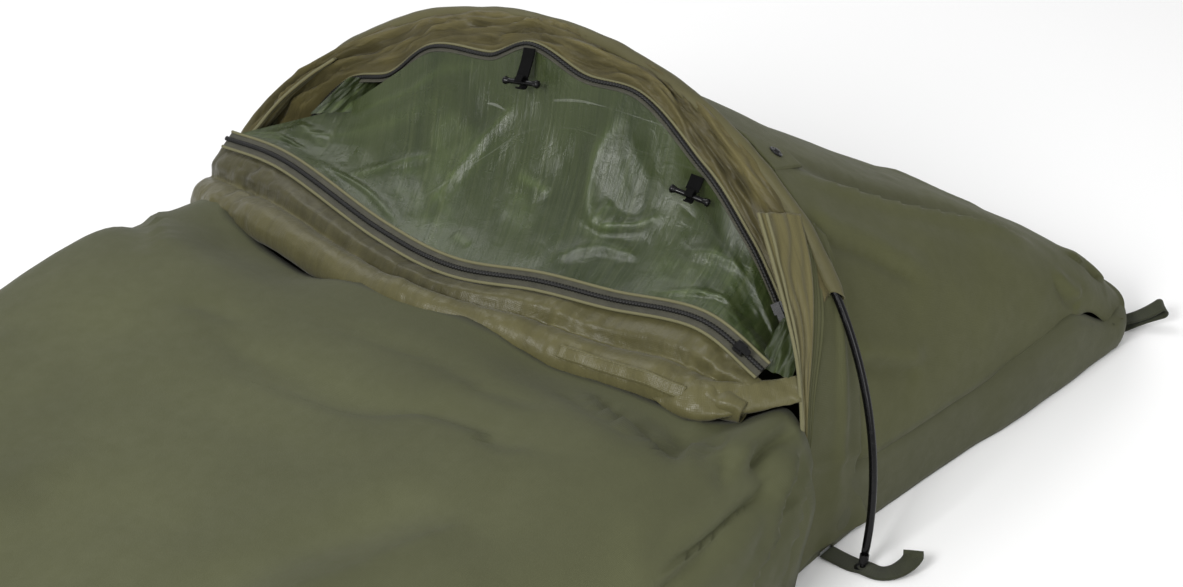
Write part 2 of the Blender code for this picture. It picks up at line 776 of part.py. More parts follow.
def corner_loops():
    inset = 0.0205
    for side, word in ((-1, "left"), (1, "right")):
        head = (HEAD_X - inset, side * (HEAD_HALF_WIDTH - inset), 0.0)
        corner_loop(f"{word}_head_loop", head, side * radians(45))
        foot = (FOOT_X + inset, side * (FOOT_HALF_WIDTH - inset), 0.0)
        corner_loop(f"{word}_foot_loop", foot, side * radians(135))


def build():
    clear_scene()
    ground_sheet()
    tub_walls()
    body_shell()
    head_shell()
    for side, word in ((-1, "left"), (1, "right")):
        side_gusset(f"{word}_side_gusset", side)
        side_strip(f"{word}_side_strip", side)
        pole_tip(f"{word}_pole_tip", side)
        hoop_strap(f"{word}_hoop_strap", f"{word}_grommet", side)
    pole()
    sleeve()
    storm_flap()
    arch_zip()
    chest_zip()
    sliders()
    mosquito_net()
    rolled_door()
    door_keeper()
    snap("left", 0.318)
    snap("right", 0.693)
    for name, share, hang, length in TOGGLES:
        toggle(name, share, hang, length)
    corner_loops()


build()
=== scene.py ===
"""Looks of the single-hoop bivy sack: cloth panels with their folds, zips, webbing and the bare pole.

Shapes are worked out in the hoop's frame: the origin is on the floor midway between the pole's feet, +X
points to the head end and -Y is the side that faces the camera. HOOP_X then moves every piece into the
part's frame.
"""

from itertools import product
from math import asin, cos, pi, radians, sin, tan

import bpy
import numpy as np
from mathutils import Matrix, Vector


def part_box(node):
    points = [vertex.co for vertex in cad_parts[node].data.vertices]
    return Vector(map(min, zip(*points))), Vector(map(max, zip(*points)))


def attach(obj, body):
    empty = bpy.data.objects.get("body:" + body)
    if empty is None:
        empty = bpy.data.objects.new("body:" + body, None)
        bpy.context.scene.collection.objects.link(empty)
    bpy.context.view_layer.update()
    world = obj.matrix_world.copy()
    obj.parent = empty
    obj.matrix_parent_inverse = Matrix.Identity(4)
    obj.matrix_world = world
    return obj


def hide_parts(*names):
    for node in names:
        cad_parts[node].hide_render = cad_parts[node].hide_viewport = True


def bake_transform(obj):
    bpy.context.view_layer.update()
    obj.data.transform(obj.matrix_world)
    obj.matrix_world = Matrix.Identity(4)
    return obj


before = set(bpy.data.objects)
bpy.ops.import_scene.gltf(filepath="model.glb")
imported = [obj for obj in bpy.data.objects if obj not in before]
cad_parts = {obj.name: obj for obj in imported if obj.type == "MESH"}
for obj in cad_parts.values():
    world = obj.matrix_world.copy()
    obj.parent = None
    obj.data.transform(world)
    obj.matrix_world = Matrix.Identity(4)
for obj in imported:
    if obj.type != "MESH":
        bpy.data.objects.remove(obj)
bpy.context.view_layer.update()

# Sizes that the part's own curves are made from, in metres
HOOP_X = 0.5075
FOOT_X = -1.65
HEAD_X = 0.635
FOOT_HALF_WIDTH = 0.315
CORNER = 0.07
HOOP_HALF_WIDTH = 0.425
CHEST_HALF_WIDTH = 0.458
HEAD_HALF_WIDTH = 0.465
WALL_HEIGHT = 0.085
PEG_INSET = 0.0205
HOOP_HALF_SPAN = 0.475
HOOP_BASE = 0.0347
HOOP_RISE = 0.4284
LEAN_ANGLE = radians(11.6)
HOOP_LEAN = tan(LEAN_ANGLE)
TIP_HEIGHT = 0.0185
ARCH_HALF_SPAN = 0.42
ARCH_RISE = 0.41
ARCH_BASE = 0.02
ARCH_SETBACK = 0.029
ARCH_END_Z = 0.235
ARCH_WAVES = (
    (25, 0.985), (39, 1.004), (47, 1.009), (59, 1.022), (73, 1.052), (83, 1.014), (93, 1.046),
    (101, 0.998), (112, 1.024), (122, 0.982), (131, 1.022), (155, 0.985),
)
FOLD_FADE = 0.22  # the share of a fold's length over which each end dies away
TAPE_WIDTH = 0.015
CHEST_TAPE = 0.0105
CHEST_LINE = [
    (-0.05, -0.378, 0.232), (-0.046, -0.29, 0.263), (-0.058, -0.18, 0.254), (-0.08, -0.1, 0.258),
    (-0.106, 0.0, 0.253), (-0.096, 0.114, 0.256), (-0.06, 0.29, 0.27), (-0.04, 0.414, 0.256),
]
CHEST_ACROSS = np.array((0.8, 0.0, 0.6))
AHEAD = (cos(LEAN_ANGLE), 0.0, -sin(LEAN_ANGLE))  # square to the plane of the leaning hoop
POLE_RADIUS = 0.0045
SLEEVE_RADIUS = 0.0094
EYE_RADIUS = 0.0071
NET_WIDTH = 0.8
NET_DROP = 0.25
SIDES = {"left": -1, "right": 1}


# ---------------------------------------------------------------- numbers

def stacked(*parts):
    return np.stack(np.broadcast_arrays(*parts), axis=-1)


def smooth(t):
    t = np.clip(t, 0.0, 1.0)
    return t * t * (3 - 2 * t)


def mix(a, b, t):
    return a + (b - a) * t


def unit(v):
    return v / np.maximum(np.linalg.norm(v, axis=-1, keepdims=True), 1e-9)


def evened(share):
    """Shares drawn together towards the two sides, where the cloth bends most."""
    return share - 0.03 * np.sin(4 * pi * share) / 2


def run_along(path):
    """How far each point is along the path."""
    return np.concatenate([[0], np.cumsum(np.linalg.norm(np.diff(path, axis=0), axis=1))])


def noise(points, size, seed=0):
    """Smooth value noise from -1 to 1, one value for each point."""
    p = np.asarray(points, float) / size + seed * 17.31
    cell = np.floor(p)
    f = p - cell
    f = f * f * (3 - 2 * f)
    total = np.zeros(p.shape[:-1])
    for corner in product((0, 1), repeat=3):
        c = np.array(corner)
        h = np.sin((cell + c) @ np.array((12.9898, 78.233, 37.719))) * 43758.5453
        weight = np.prod(np.where(c == 1, f, 1 - f), axis=-1)
        total += (h - np.floor(h)) * weight
    return total * 2 - 1


def curve(points, count):
    """A smooth curve through the points, read at count + 1 places."""
    p = np.array(points, float)
    p = np.vstack([2 * p[0] - p[1], p, 2 * p[-1] - p[-2]])
    place = np.linspace(0, len(p) - 3, count + 1)
    k = np.minimum(place.astype(int), len(p) - 4)
    t = (place - k)[:, None]
    a, b, c, d = p[k], p[k + 1], p[k + 2], p[k + 3]
    near = 2 * b + (c - a) * t + (2 * a - 5 * b + 4 * c - d) * t ** 2
    return 0.5 * (near + (3 * b - a - 3 * c + d) * t ** 3)


def along_curve(points, share):
    """Points of the smooth curve at shares from 0 to 1 of its parameter."""
    fine = curve(points, 400)
    place = np.clip(np.asarray(share, float), 0, 1) * 400
    k = np.minimum(place.astype(int), 399)
    t = (place - k)[..., None]
    return fine[k] * (1 - t) + fine[k + 1] * t


def resample(path, count):
    """The path at count + 1 places that are evenly spaced along it."""
    path = np.asarray(path, float)
    run = run_along(path)
    at = np.linspace(0, run[-1], count + 1)
    return np.stack([np.interp(at, run, path[:, k]) for k in range(3)], axis=1)


def fold(points, path, width, height, toward=None, ridge=0.0):
    """Height of a fold along a line: a valley (or ridge) with a second swell beside it on one side."""
    line = curve(path, 28)
    best = np.full(points.shape[:-1], 1e9)
    share = np.zeros(points.shape[:-1])
    gap = np.zeros(points.shape)
    for i in range(len(line) - 1):
        a, b = line[i], line[i + 1]
        ab = b - a
        t = np.clip(((points - a) @ ab) / (ab @ ab), 0, 1)
        delta = points - (a + t[..., None] * ab)
        d = np.linalg.norm(delta, axis=-1)
        near = d < best
        best = np.where(near, d, best)
        share = np.where(near, (i + t) / (len(line) - 1), share)
        gap = np.where(near[..., None], delta, gap)
    ends = smooth(share / FOLD_FADE) * smooth((1 - share) / FOLD_FADE)
    lift = height * np.exp(-(best / width) ** 2)
    if toward is not None:
        side = np.sign(gap @ np.array(toward, float))
        signed = best * side
        lift = lift + ridge * np.exp(-((signed - 1.7 * width) / (1.3 * width)) ** 2)
        lift = lift - 0.35 * ridge * np.exp(-((signed + 2.4 * width) / (1.8 * width)) ** 2)
    return lift * ends


# ---------------------------------------------------------------- curves shared with the part

def hoop_point(turn):
    turn = np.asarray(turn, float)
    z = HOOP_BASE + HOOP_RISE * np.sin(turn)
    return np.stack([HOOP_LEAN * z, -HOOP_HALF_SPAN * np.cos(turn), z], axis=-1)


def hoop_turn(z):
    return asin((z - HOOP_BASE) / HOOP_RISE)


def arch_wave(turn):
    place = np.degrees(turn)
    ends = np.array([w[0] for w in ARCH_WAVES], float)
    sizes = np.array([w[1] for w in ARCH_WAVES])
    place = np.clip(place, ends[0], ends[-1])
    k = np.clip(np.searchsorted(ends, place) - 1, 0, len(ends) - 2)
    t = smooth((place - ends[k]) / (ends[k + 1] - ends[k]))
    return sizes[k] * (1 - t) + sizes[k + 1] * t


def arch_point(turn):
    turn = np.asarray(turn, float)
    pull = arch_wave(turn)
    z = ARCH_BASE + ARCH_RISE * np.sin(turn) * pull
    return np.stack([HOOP_LEAN * z - ARCH_SETBACK, -ARCH_HALF_SPAN * np.cos(turn) * pull, z], axis=-1)


def arch_turn(share):
    first = asin((ARCH_END_Z - ARCH_BASE) / ARCH_RISE)
    return mix(first, pi - first, np.asarray(share, float))


def across_arch(turn):
    return unit(arch_point(turn) - hoop_point(turn))


def chest_point(share):
    return along_curve(CHEST_LINE, share)


def half_width(x):
    x = np.asarray(x, float)
    low = mix(HOOP_HALF_WIDTH, CHEST_HALF_WIDTH, smooth(-x / 0.28))
    low = low - (CHEST_HALF_WIDTH - FOOT_HALF_WIDTH) * smooth((-x - 0.35) / (-FOOT_X - 0.35))
    return np.where(x < 0, low, mix(HOOP_HALF_WIDTH, HEAD_HALF_WIDTH, smooth(x / HEAD_X)))


def arch_section(share, width, base, top, fullness):
    turn = pi * np.asarray(share, float)
    power = 2 / fullness
    y = -width * np.abs(np.cos(turn)) ** power * np.sign(np.cos(turn) + 1e-12)
    return y, base + (top - base) * np.abs(np.sin(turn)) ** power


# ---------------------------------------------------------------- meshes

def linked(name, data):
    obj = bpy.data.objects.new(name, data)
    bpy.context.scene.collection.objects.link(obj)
    return obj


def new_object(name, verts, faces, uvs=None, mat=None, tone=None):
    mesh = bpy.data.meshes.new(name)
    moved = np.asarray(verts, float) + np.array((HOOP_X, 0.0, 0.0))
    mesh.from_pydata(moved.tolist(), [], faces)
    if uvs is not None:
        layer = mesh.uv_layers.new(name="cloth")
        index = np.zeros(len(mesh.loops), int)
        mesh.loops.foreach_get("vertex_index", index)
        layer.data.foreach_set("uv", np.asarray(uvs, float)[index].ravel())
    # tone: a factor on the colour at each point; on the folded cloth and the net it holds painted shade,
    # painted highlights and painted glints
    tones = np.ones(len(verts)) if tone is None else np.asarray(tone, float).ravel()
    mesh.attributes.new("tone", "FLOAT", "POINT").data.foreach_set("value", tones)
    mesh.shade_smooth()
    if mat:
        mesh.materials.append(mat)
    return linked(name, mesh)


def grid_object(name, grid, mat, thickness=0.0009, flip=False, tone=None):
    """A cloth panel from a grid of points, with UVs in metres along its rows and columns."""
    rows, cols = grid.shape[:2]
    index = np.arange(rows * cols).reshape(rows, cols)
    a, b = index[:-1, :-1].ravel(), index[:-1, 1:].ravel()
    c, d = index[1:, 1:].ravel(), index[1:, :-1].ravel()
    order = (a, d, c, b) if flip else (a, b, c, d)
    faces = np.stack(order, axis=1).tolist()
    u = np.cumsum(np.vstack([np.zeros(cols), np.linalg.norm(np.diff(grid, axis=0), axis=2)]), axis=0)
    v = np.cumsum(np.hstack([np.zeros((rows, 1)), np.linalg.norm(np.diff(grid, axis=1), axis=2)]), axis=1)
    u = np.broadcast_to(u.mean(axis=1, keepdims=True), u.shape)
    v = v - v.mean(axis=1, keepdims=True) + v.mean()
    uvs = np.stack([u, v], axis=-1).reshape(-1, 2)
    obj = new_object(name, grid.reshape(-1, 3), faces, uvs, mat, tone)
    if thickness:
        solid = obj.modifiers.new("cloth", "SOLIDIFY")
        solid.thickness = thickness
        solid.offset = 0.0
    return obj


def tangents(path):
    return unit(np.gradient(np.asarray(path, float), axis=0))


def frames(path, sides):
    along = tangents(path)
    sides = np.broadcast_to(np.asarray(sides, float), along.shape)
    across = unit(sides - along * np.sum(sides * along, axis=1, keepdims=True))
    return along, across, np.cross(along, across)


def wrapped(rows, cols):
    """The faces of rows of closed rings, with a cap at each end."""
    faces = []
    for i in range(rows - 1):
        for k in range(cols):
            n = (k + 1) % cols
            faces.append((i * cols + k, i * cols + n, (i + 1) * cols + n, (i + 1) * cols + k))
    faces.append(tuple(range(cols))[::-1])
    faces.append(tuple((rows - 1) * cols + k for k in range(cols)))
    return faces


def carried(path, sides, outline, sizes=None):
    """The outline's points at each point of the path. sizes scale it: numbers, or (across, up) pairs."""
    _, across, up = frames(path, sides)
    sizes = np.ones((len(path), 2)) if sizes is None else np.asarray(sizes, float)
    if sizes.ndim == 1:
        sizes = np.stack([sizes, sizes], axis=1)
    a = outline[None, :, 0] * sizes[:, :1]
    b = outline[None, :, 1] * sizes[:, 1:]
    return path[:, None] + across[:, None] * a[..., None] + up[:, None] * b[..., None]


def tube(name, path, sides, outline, mat, sizes=None):
    """A closed band or rod: the outline carried along the path, capped at both ends."""
    path, outline = np.asarray(path, float), np.asarray(outline, float)
    grid = carried(path, sides, outline, sizes)
    faces = wrapped(*grid.shape[:2])
    uvs = np.stack(np.meshgrid(run_along(path), run_along(outline), indexing="ij"), axis=-1).reshape(-1, 2)
    return new_object(name, grid.reshape(-1, 3), faces, uvs, mat)


def ring(radius_a, radius_b, count):
    k = np.arange(count) * 2 * pi / count
    return np.stack([radius_a * np.cos(k), radius_b * np.sin(k)], axis=1)


def band(width, thickness, count=7, crown=0.0):
    """The outline of a flat band with soft edges, and a little crown over its width."""
    s = np.linspace(-1, 1, count)
    top = np.stack([s * width / 2, thickness / 2 + crown * (1 - s ** 2)], axis=1)
    low = np.stack([s[::-1] * width / 2, -thickness / 2 + crown * (1 - s[::-1] ** 2)], axis=1)
    return np.vstack([top, low])[::-1]


def blob(name, centre, axis, profile, count, mat):
    """A turned body about axis. profile is a list of (radius, height) from pole to pole."""
    axis = unit(np.asarray(axis, float))
    side = unit(np.cross(axis, (0.31, 0.87, 0.17)))
    other = np.cross(axis, side)
    k = np.arange(count) * 2 * pi / count
    verts = []
    for r, h in profile:
        verts += list(centre + axis * h + side * r * np.cos(k)[:, None] + other * r * np.sin(k)[:, None])
    return new_object(name, np.array(verts), wrapped(len(profile), count), None, mat)


# ---------------------------------------------------------------- materials

class Nodes:
    """Short names for wiring a material. A socket takes a number, a colour or another node's output."""

    def __init__(self, name):
        self.mat = bpy.data.materials.new(name)
        self.mat.use_nodes = True
        self.tree = self.mat.node_tree
        self.shader = self.tree.nodes["Principled BSDF"]

    def put(self, socket, value):
        if isinstance(value, bpy.types.NodeSocket):
            self.tree.links.new(value, socket)
        else:
            socket.default_value = value

    def add(self, kind, sockets, out=0, **settings):
        node = self.tree.nodes.new("ShaderNode" + kind)
        for key, value in settings.items():
            setattr(node, key, value)
        for key, value in sockets.items():
            self.put(node.inputs[key], value)
        return node.outputs[out]

    def noise(self, vector, scale, detail=3.0, rough=0.55, distortion=0.0):
        sockets = {"Vector": vector, "Scale": scale, "Detail": detail, "Roughness": rough}
        return self.add("TexNoise", {**sockets, "Distortion": distortion}, "Fac")

    def wave(self, vector, scale, direction="X", distortion=0.0):
        sockets = {"Vector": vector, "Scale": scale, "Distortion": distortion}
        return self.add("TexWave", sockets, "Fac", wave_type="BANDS", bands_direction=direction)

    def ramp(self, value, low, high, to_low=0.0, to_high=1.0):
        sockets = {"Value": value, "From Min": low, "From Max": high, "To Min": to_low, "To Max": to_high}
        return self.add("MapRange", sockets, "Result")

    def math(self, how, a, b):
        return self.add("Math", {0: a, 1: b}, operation=how)

    def blend(self, share, a, b, how="MIX"):
        a, b = ((*c, 1.0) if isinstance(c, tuple) else c for c in (a, b))
        return self.add("Mix", {0: share, 6: a, 7: b}, 2, data_type="RGBA", blend_type=how)

    def position(self):
        return self.add("TexCoord", {}, "Object")

    def flat(self):
        return self.add("UVMap", {}, "UV", uv_map="cloth")

    def times_painted_light(self, color):
        """The colour times the tone that each mesh carries: its painted shade and painted highlights."""
        return self.blend(1.0, color, self.add("Attribute", {}, "Fac", attribute_name="tone"), "MULTIPLY")

    def scaled(self, vector, x, y):
        return self.add("Mapping", {"Vector": vector, "Scale": (x, y, 1.0)})

    def bump(self, height, distance, strength=1.0, below=None):
        sockets = {"Height": height, "Distance": distance, "Strength": strength}
        return self.add("Bump", sockets if below is None else {**sockets, "Normal": below})

    def finish(self, color, rough, **sockets):
        for key, value in {"Base_Color": color, "Roughness": rough, **sockets}.items():
            self.put(self.shader.inputs[key.replace("_", " ")], value)
        return self.mat


def shade(color, factor):
    return tuple(c * factor for c in color)


def laminate(name, color, rough=0.72, crinkle=0.0006, weave=0.00012, streak=None, sheen=0.04):
    """Three-layer cloth: a fine plain weave, small crinkles, and slow changes of tone."""
    n = Nodes(name)
    pos = n.position()
    slow = n.ramp(n.noise(pos, 5.0, 3.0), 0.3, 0.7)
    tone = n.blend(slow, shade(color, 0.9), shade(color, 1.1))
    mottle = n.ramp(n.noise(pos, 55.0, 4.0, 0.6), 0.35, 0.7)
    tone = n.blend(n.math("MULTIPLY", mottle, 0.2), tone, shade(color, 0.8))
    threads = n.noise(pos, 1400.0, 1.0, 0.5)
    tone = n.blend(n.math("MULTIPLY", n.ramp(threads, 0.35, 0.65), 0.22), tone, shade(color, 1.25))
    flat = n.flat()
    cloth = n.math("ADD", n.wave(flat, 170.0, "X"), n.wave(flat, 170.0, "Y"))
    normal = n.bump(cloth, weave, 0.5)
    normal = n.bump(n.noise(pos, 30.0, 5.0, 0.6, 0.6), crinkle * 2.2, 0.6, normal)
    normal = n.bump(n.noise(pos, 110.0, 3.0, 0.6, 0.4), crinkle * 0.5, 0.5, normal)
    tone = n.times_painted_light(tone)
    # streak: fine creases as bumps, with their sheen and shade painted into the colour as lighter and darker
    # lines
    if streak:
        lines = n.noise(n.scaled(flat, *streak[:2]), 1.0, 4.0, 0.65, 0.3)
        normal = n.bump(lines, streak[2], 0.8, normal)
        tone = n.blend(n.math("MULTIPLY", n.ramp(lines, 0.35, 0.68), streak[3]), tone, shade(color, 1.7))
        tone = n.blend(n.math("MULTIPLY", n.ramp(lines, 0.5, 0.25), streak[3]), tone, shade(color, 0.5))
    roughness = n.ramp(mottle, 0.0, 1.0, rough - 0.05, rough + 0.06)
    return n.finish(tone, roughness, Normal=normal, Sheen_Weight=sheen, Sheen_Roughness=0.5,
                    Specular_IOR_Level=0.2)


def webbing(name, color, rib=300.0, sheen=0.1, shine=0.25):
    n = Nodes(name)
    flat = n.flat()
    ribs = n.wave(flat, rib, "X")
    edge = n.wave(flat, rib * 0.55, "Y")
    pos = n.position()
    dust = n.ramp(n.noise(pos, 90.0, 4.0), 0.3, 0.75)
    tone = n.blend(dust, shade(color, 0.75), shade(color, 1.25))
    tone = n.blend(n.math("MULTIPLY", ribs, 0.35), tone, shade(color, 0.5))
    normal = n.bump(n.math("ADD", ribs, edge), 0.0005, 0.8)
    normal = n.bump(n.noise(pos, 900.0, 2.0), 0.0002, 0.4, normal)
    rough = n.ramp(dust, 0, 1, 0.82, 0.95)
    return n.finish(tone, rough, Normal=normal, Sheen_Weight=sheen, Sheen_Roughness=0.5,
                    Specular_IOR_Level=shine)


def hard(name, color, rough, grain=500.0, depth=0.00006, wear=0.15, shine=0.5, metallic=0.0):
    n = Nodes(name)
    pos = n.position()
    marks = n.ramp(n.noise(pos, 120.0, 5.0, 0.65), 0.42, 0.75)
    tone = n.blend(n.math("MULTIPLY", marks, wear), color, shade(color, 2.4))
    roughness = n.ramp(marks, 0, 1, rough, min(rough + 0.22, 1.0))
    normal = n.bump(n.noise(pos, grain, 3.0), depth, 0.5)
    return n.finish(tone, roughness, Normal=normal, Metallic=metallic, Specular_IOR_Level=shine)


def netting(name):
    """Fine green insect mesh: mostly opaque from afar, with a painted silky sheen across its threads."""
    n = Nodes(name)
    pos = n.position()
    flat = n.flat()
    slow = n.ramp(n.noise(n.scaled(flat, 9.0, 4.0), 1.0, 3.0, 0.5, 0.8), 0.3, 0.72)
    tone = n.blend(slow, (0.017, 0.027, 0.007), (0.04, 0.055, 0.016))
    silk = n.noise(n.scaled(flat, 260.0, 5.0), 1.0, 3.0, 0.6, 0.25)
    # silk: lighter streaks across the threads, a painted sheen
    tone = n.blend(n.math("MULTIPLY", n.ramp(silk, 0.42, 0.7), 0.3), tone, (0.085, 0.1, 0.042))
    tone = n.times_painted_light(tone)
    threads = n.math("MULTIPLY", n.wave(flat, 260.0, "X"), n.wave(flat, 260.0, "Y"))
    normal = n.bump(silk, 0.001, 0.6)
    normal = n.bump(n.noise(pos, 45.0, 4.0, 0.6, 0.8), 0.003, 0.5, normal)
    normal = n.bump(threads, 0.0002, 0.5, normal)
    rough = n.ramp(n.noise(pos, 14.0, 3.0), 0.3, 0.7, 0.22, 0.4)
    alpha = n.ramp(n.noise(pos, 10.0, 2.0), 0.3, 0.7, 0.86, 0.95)
    return n.finish(tone, rough, Normal=normal, Alpha=alpha, Sheen_Weight=0.06, Sheen_Roughness=0.35,
                    Specular_IOR_Level=0.45)


def tape_look(name, color):
    """Woven zip tape: a herringbone that runs along it, with a stitched line near its edge."""
    n = Nodes(name)
    flat = n.flat()
    ribs = n.wave(flat, 420.0, "X", 1.5)
    long_lines = n.wave(flat, 330.0, "Y", 0.6)
    pos = n.position()
    dust = n.ramp(n.noise(pos, 70.0, 4.0), 0.3, 0.75)
    tone = n.blend(dust, shade(color, 0.8), shade(color, 1.2))
    tone = n.blend(n.math("MULTIPLY", long_lines, 0.35), tone, shade(color, 0.6))
    normal = n.bump(n.math("ADD", ribs, long_lines), 0.0004, 0.7)
    rough = n.ramp(dust, 0, 1, 0.75, 0.92)
    return n.finish(tone, rough, Normal=normal, Sheen_Weight=0.04, Specular_IOR_Level=0.25)


OLIVE = (0.064, 0.067, 0.032)
HOOD_OLIVE = (0.062, 0.064, 0.026)
BROWN = (0.072, 0.061, 0.022)
LINING = (0.08, 0.073, 0.031)

SHELL = laminate("shell_cloth", OLIVE)
HOOD = laminate("hood_cloth", HOOD_OLIVE)
TUB = laminate("tub_cloth", (0.056, 0.058, 0.028), 0.66)
FLAP = laminate("flap_satin", BROWN, 0.46, 0.0011, 0.0001, (7.0, 130.0, 0.0016, 0.3), 0.08)
SLEEVE = laminate("sleeve_cloth", (0.07, 0.064, 0.028), 0.56, 0.001, 0.00012, (14.0, 60.0, 0.001, 0.16))
ROLL = laminate("roll_satin", LINING, 0.36, 0.0016, 0.0001, (110.0, 12.0, 0.0009, 0.16), 0.08)
STRIP = laminate("strip_satin", (0.084, 0.074, 0.03), 0.44, 0.0009, 0.0001, (6.0, 150.0, 0.0012, 0.34), 0.08)
GUSSET = laminate("gusset_cloth", (0.061, 0.063, 0.028), 0.74)
PIPING = laminate("piping_cloth", (0.125, 0.118, 0.062), 0.7, 0.0003)
NET = netting("insect_net")
TAPE = tape_look("zip_tape", (0.07, 0.068, 0.05))
COIL = hard("zip_coil", (0.007, 0.007, 0.0065), 0.42, 500.0, 0.00005, 0.1, 0.25)
WEB_OLIVE = webbing("olive_web", (0.034, 0.038, 0.018))
WEB_BLACK = webbing("black_web", (0.004, 0.004, 0.004), 420.0, 0.0, 0.1)
POLE = hard("pole_tube", (0.002, 0.002, 0.0022), 0.16, 900.0, 0.00002, 0.08, 0.22)
FERRULE = hard("ferrule_metal", (0.5, 0.5, 0.51), 0.3, metallic=1.0)
PLASTIC = hard("black_plastic", (0.002, 0.002, 0.0022), 0.22, 420.0, 0.00004, 0.1, 0.25)
SNAP = hard("snap_metal", (0.003, 0.003, 0.0035), 0.26, 500.0, 0.00004, 0.1, 0.35)
CORD = webbing("cord_cover", (0.03, 0.03, 0.03), 700.0)


# Cloth meant to follow the hoop more the nearer it is to it: where that starts and ends, in front and behind.
# Only the names are read here, and these pieces are just baked in place.
BLENDS = {"front": ((-0.35, 0.0, 0.0), (-0.08, 0.0, 0.2)), "behind": ((0.6, 0.0, 0.0), (0.0, 0.0, 0.3))}


def dressed(piece, body, slot, *nodes):
    """Puts a piece on its body or blend, and hides the CAD nodes that it stands for; the slot, its finish's
    name, is not used.
    """
    if body in BLENDS:
        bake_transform(piece)
    else:
        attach(piece, body)
    if nodes:
        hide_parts(*nodes)


# ---------------------------------------------------------------- folds of the body and the hood

BODY_FOLDS = (
    # line, width, depth, side of the swell, height of the swell
    ([(-.35, .14, .217), (-.36, .065, .217), (-.37, -.015, .216), (-.37, -.08, .215), (-.357, -.116, .214),
      (-.32, -.175, .212), (-.326, -.242, .208), (-.3, -.335, .2)], .014, -.006, (1, .3, 0), .0055),
    ([(-.29, .08, .217), (-.275, .015, .216), (-.265, -.047, .215), (-.26, -.1, .214), (-.263, -.2, .21),
      (-.255, -.25, .205)], .012, -.0048, (1, .2, 0), .0042),
    ([(-.334, .197, .22), (-.328, .15, .22), (-.32, .104, .218)], .012, -.004, (1, 0, 0), .003),
    ([(-.16, .41, .2), (-.22, .34, .22), (-.285, .27, .225)], .014, -.005, (-1, .5, 0), .004),
    ([(-.16, -.21, .2), (-.19, -.26, .2), (-.21, -.31, .2), (-.216, -.355, .195)], .01, -.0045,
     (-1, 0, 0), .0045),
    ([(-.134, -.35, .195), (-.174, -.377, .192), (-.208, -.397, .18)], .009, -.004, (-1, -.5, 0), .0035),
    ([(-.13, -.365, .2), (-.16, -.4, .188), (-.195, -.43, .169)], .01, .005, None, 0),
    ([(-.145, -.408, .182), (-.105, -.4, .184), (-.052, -.402, .177)], .008, -.0045, (0, 0, 1), .004),
    ([(-.118, -.429, .151), (-.2, -.437, .163), (-.28, -.437, .169), (-.34, -.438, .167)], .01, -.0045,
     (0, 0, 1), .005),
    ([(-.077, -.428, .124), (-.15, -.441, .123), (-.2, -.449, .102)], .009, -.004, (0, 0, 1), .0035),
    ([(-.113, -.334, .193), (-.142, -.352, .2), (-.172, -.371, .202), (-.225, -.409, .208)],
     .008, -.0065, None, 0),
    ([(-.105, -.35, .191), (-.151, -.393, .205), (-.179, -.419, .199), (-.204, -.425, .195)],
     .009, .0055, None, 0),
    ([(-.165, -.42, .198), (-.126, -.411, .195), (-.086, -.407, .192), (-.055, -.411, .191)], .008, -.006,
     (0, -.5, -.5), .005),
    ([(-.09, -.408, .192), (-.125, -.432, .183), (-.138, -.443, .16), (-.216, -.448, .16),
      (-.329, -.457, .15), (-.43, -.46, .12)], .013, .011, None, 0),
    ([(-.072, -.426, .18), (-.086, -.435, .165), (-.112, -.442, .148), (-.152, -.453, .125),
      (-.216, -.462, .1), (-.28, -.465, .06)], .011, -.0085, (0, 0, -1), .006),
    ([(-.058, -.425, .15), (-.075, -.432, .12), (-.11, -.445, .08), (-.15, -.452, .03)], .009, -.006,
     (-.3, 0, -1), .005),
    ([(-.164, -.216, .207), (-.198, -.273, .213), (-.217, -.341, .217), (-.222, -.391, .212)], .01, -.0055,
     (1, 0, 0), .0045),
    ([(-.42, -.3, .2), (-.56, -.25, .2), (-.74, -.18, .19)], .03, -.005, (0, 1, 0), .005),
    ([(-.3, -.43, .16), (-.45, -.44, .13), (-.62, -.43, .11)], .02, -.0055, (0, 0, 1), .005),
    ([(-.52, .05, .21), (-.7, .12, .2), (-.93, .14, .18)], .035, -.005, (0, -1, 0), .005),
    ([(-.45, .3, .22), (-.62, .33, .2), (-.82, .3, .17)], .026, -.006, (0, 1, 0), .0055),
    ([(-.82, -.33, .14), (-1.0, -.24, .16), (-1.2, -.2, .14)], .026, -.0055, (0, 1, 0), .005),
    ([(-1.05, .1, .16), (-1.25, .06, .14), (-1.48, .12, .12)], .028, -.005, (0, 1, 0), .0045),
    ([(-1.3, -.33, .1), (-1.42, -.2, .12), (-1.56, -.1, .11)], .02, -.0045, (1, 0, 0), .004),
)

HOOD_FOLDS = (
    ([(.112, -.284, .377), (.217, -.319, .314), (.301, -.344, .267), (.389, -.372, .217),
      (.479, -.406, .165)], .015, .0095, (0, 1, .5), -.006),
    ([(.088, -.325, .353), (.096, -.349, .325), (.15, -.374, .287), (.187, -.396, .255), (.23, -.413, .226)],
     .012, -.004, (1, 0, .6), .0036),
    ([(.061, -.411, .199), (.119, -.423, .174), (.175, -.432, .145)], .01, -.004, (0, 0, 1), .0036),
    ([(.446, -.444, .151), (.466, -.453, .111), (.49, -.455, .095)], .008, -.0035, (1, 0, 0), .0035),
    ([(.52, -.4, .12), (.56, -.44, .105), (.58, -.455, .095)], .008, -.0035, (1, 0, 0), .0035),
    ([(.14, .05, .4), (.28, .02, .33), (.43, -.04, .25)], .03, -.005, (0, 1, 0), .0045),
    ([(.13, .3, .37), (.24, .33, .31), (.4, .37, .22)], .022, .007, (0, -1, .5), -.004),
    ([(.08, .4, .24), (.16, .425, .2), (.26, .435, .16)], .012, -.0045, (0, 0, 1), .004),
    ([(.42, .2, .22), (.5, .24, .17), (.58, .3, .12)], .016, -.0045, (0, 1, 0), .004),
    ([(.47, -.15, .19), (.54, -.2, .15), (.6, -.26, .11)], .016, -.0045, (0, -1, 0), .004),
)


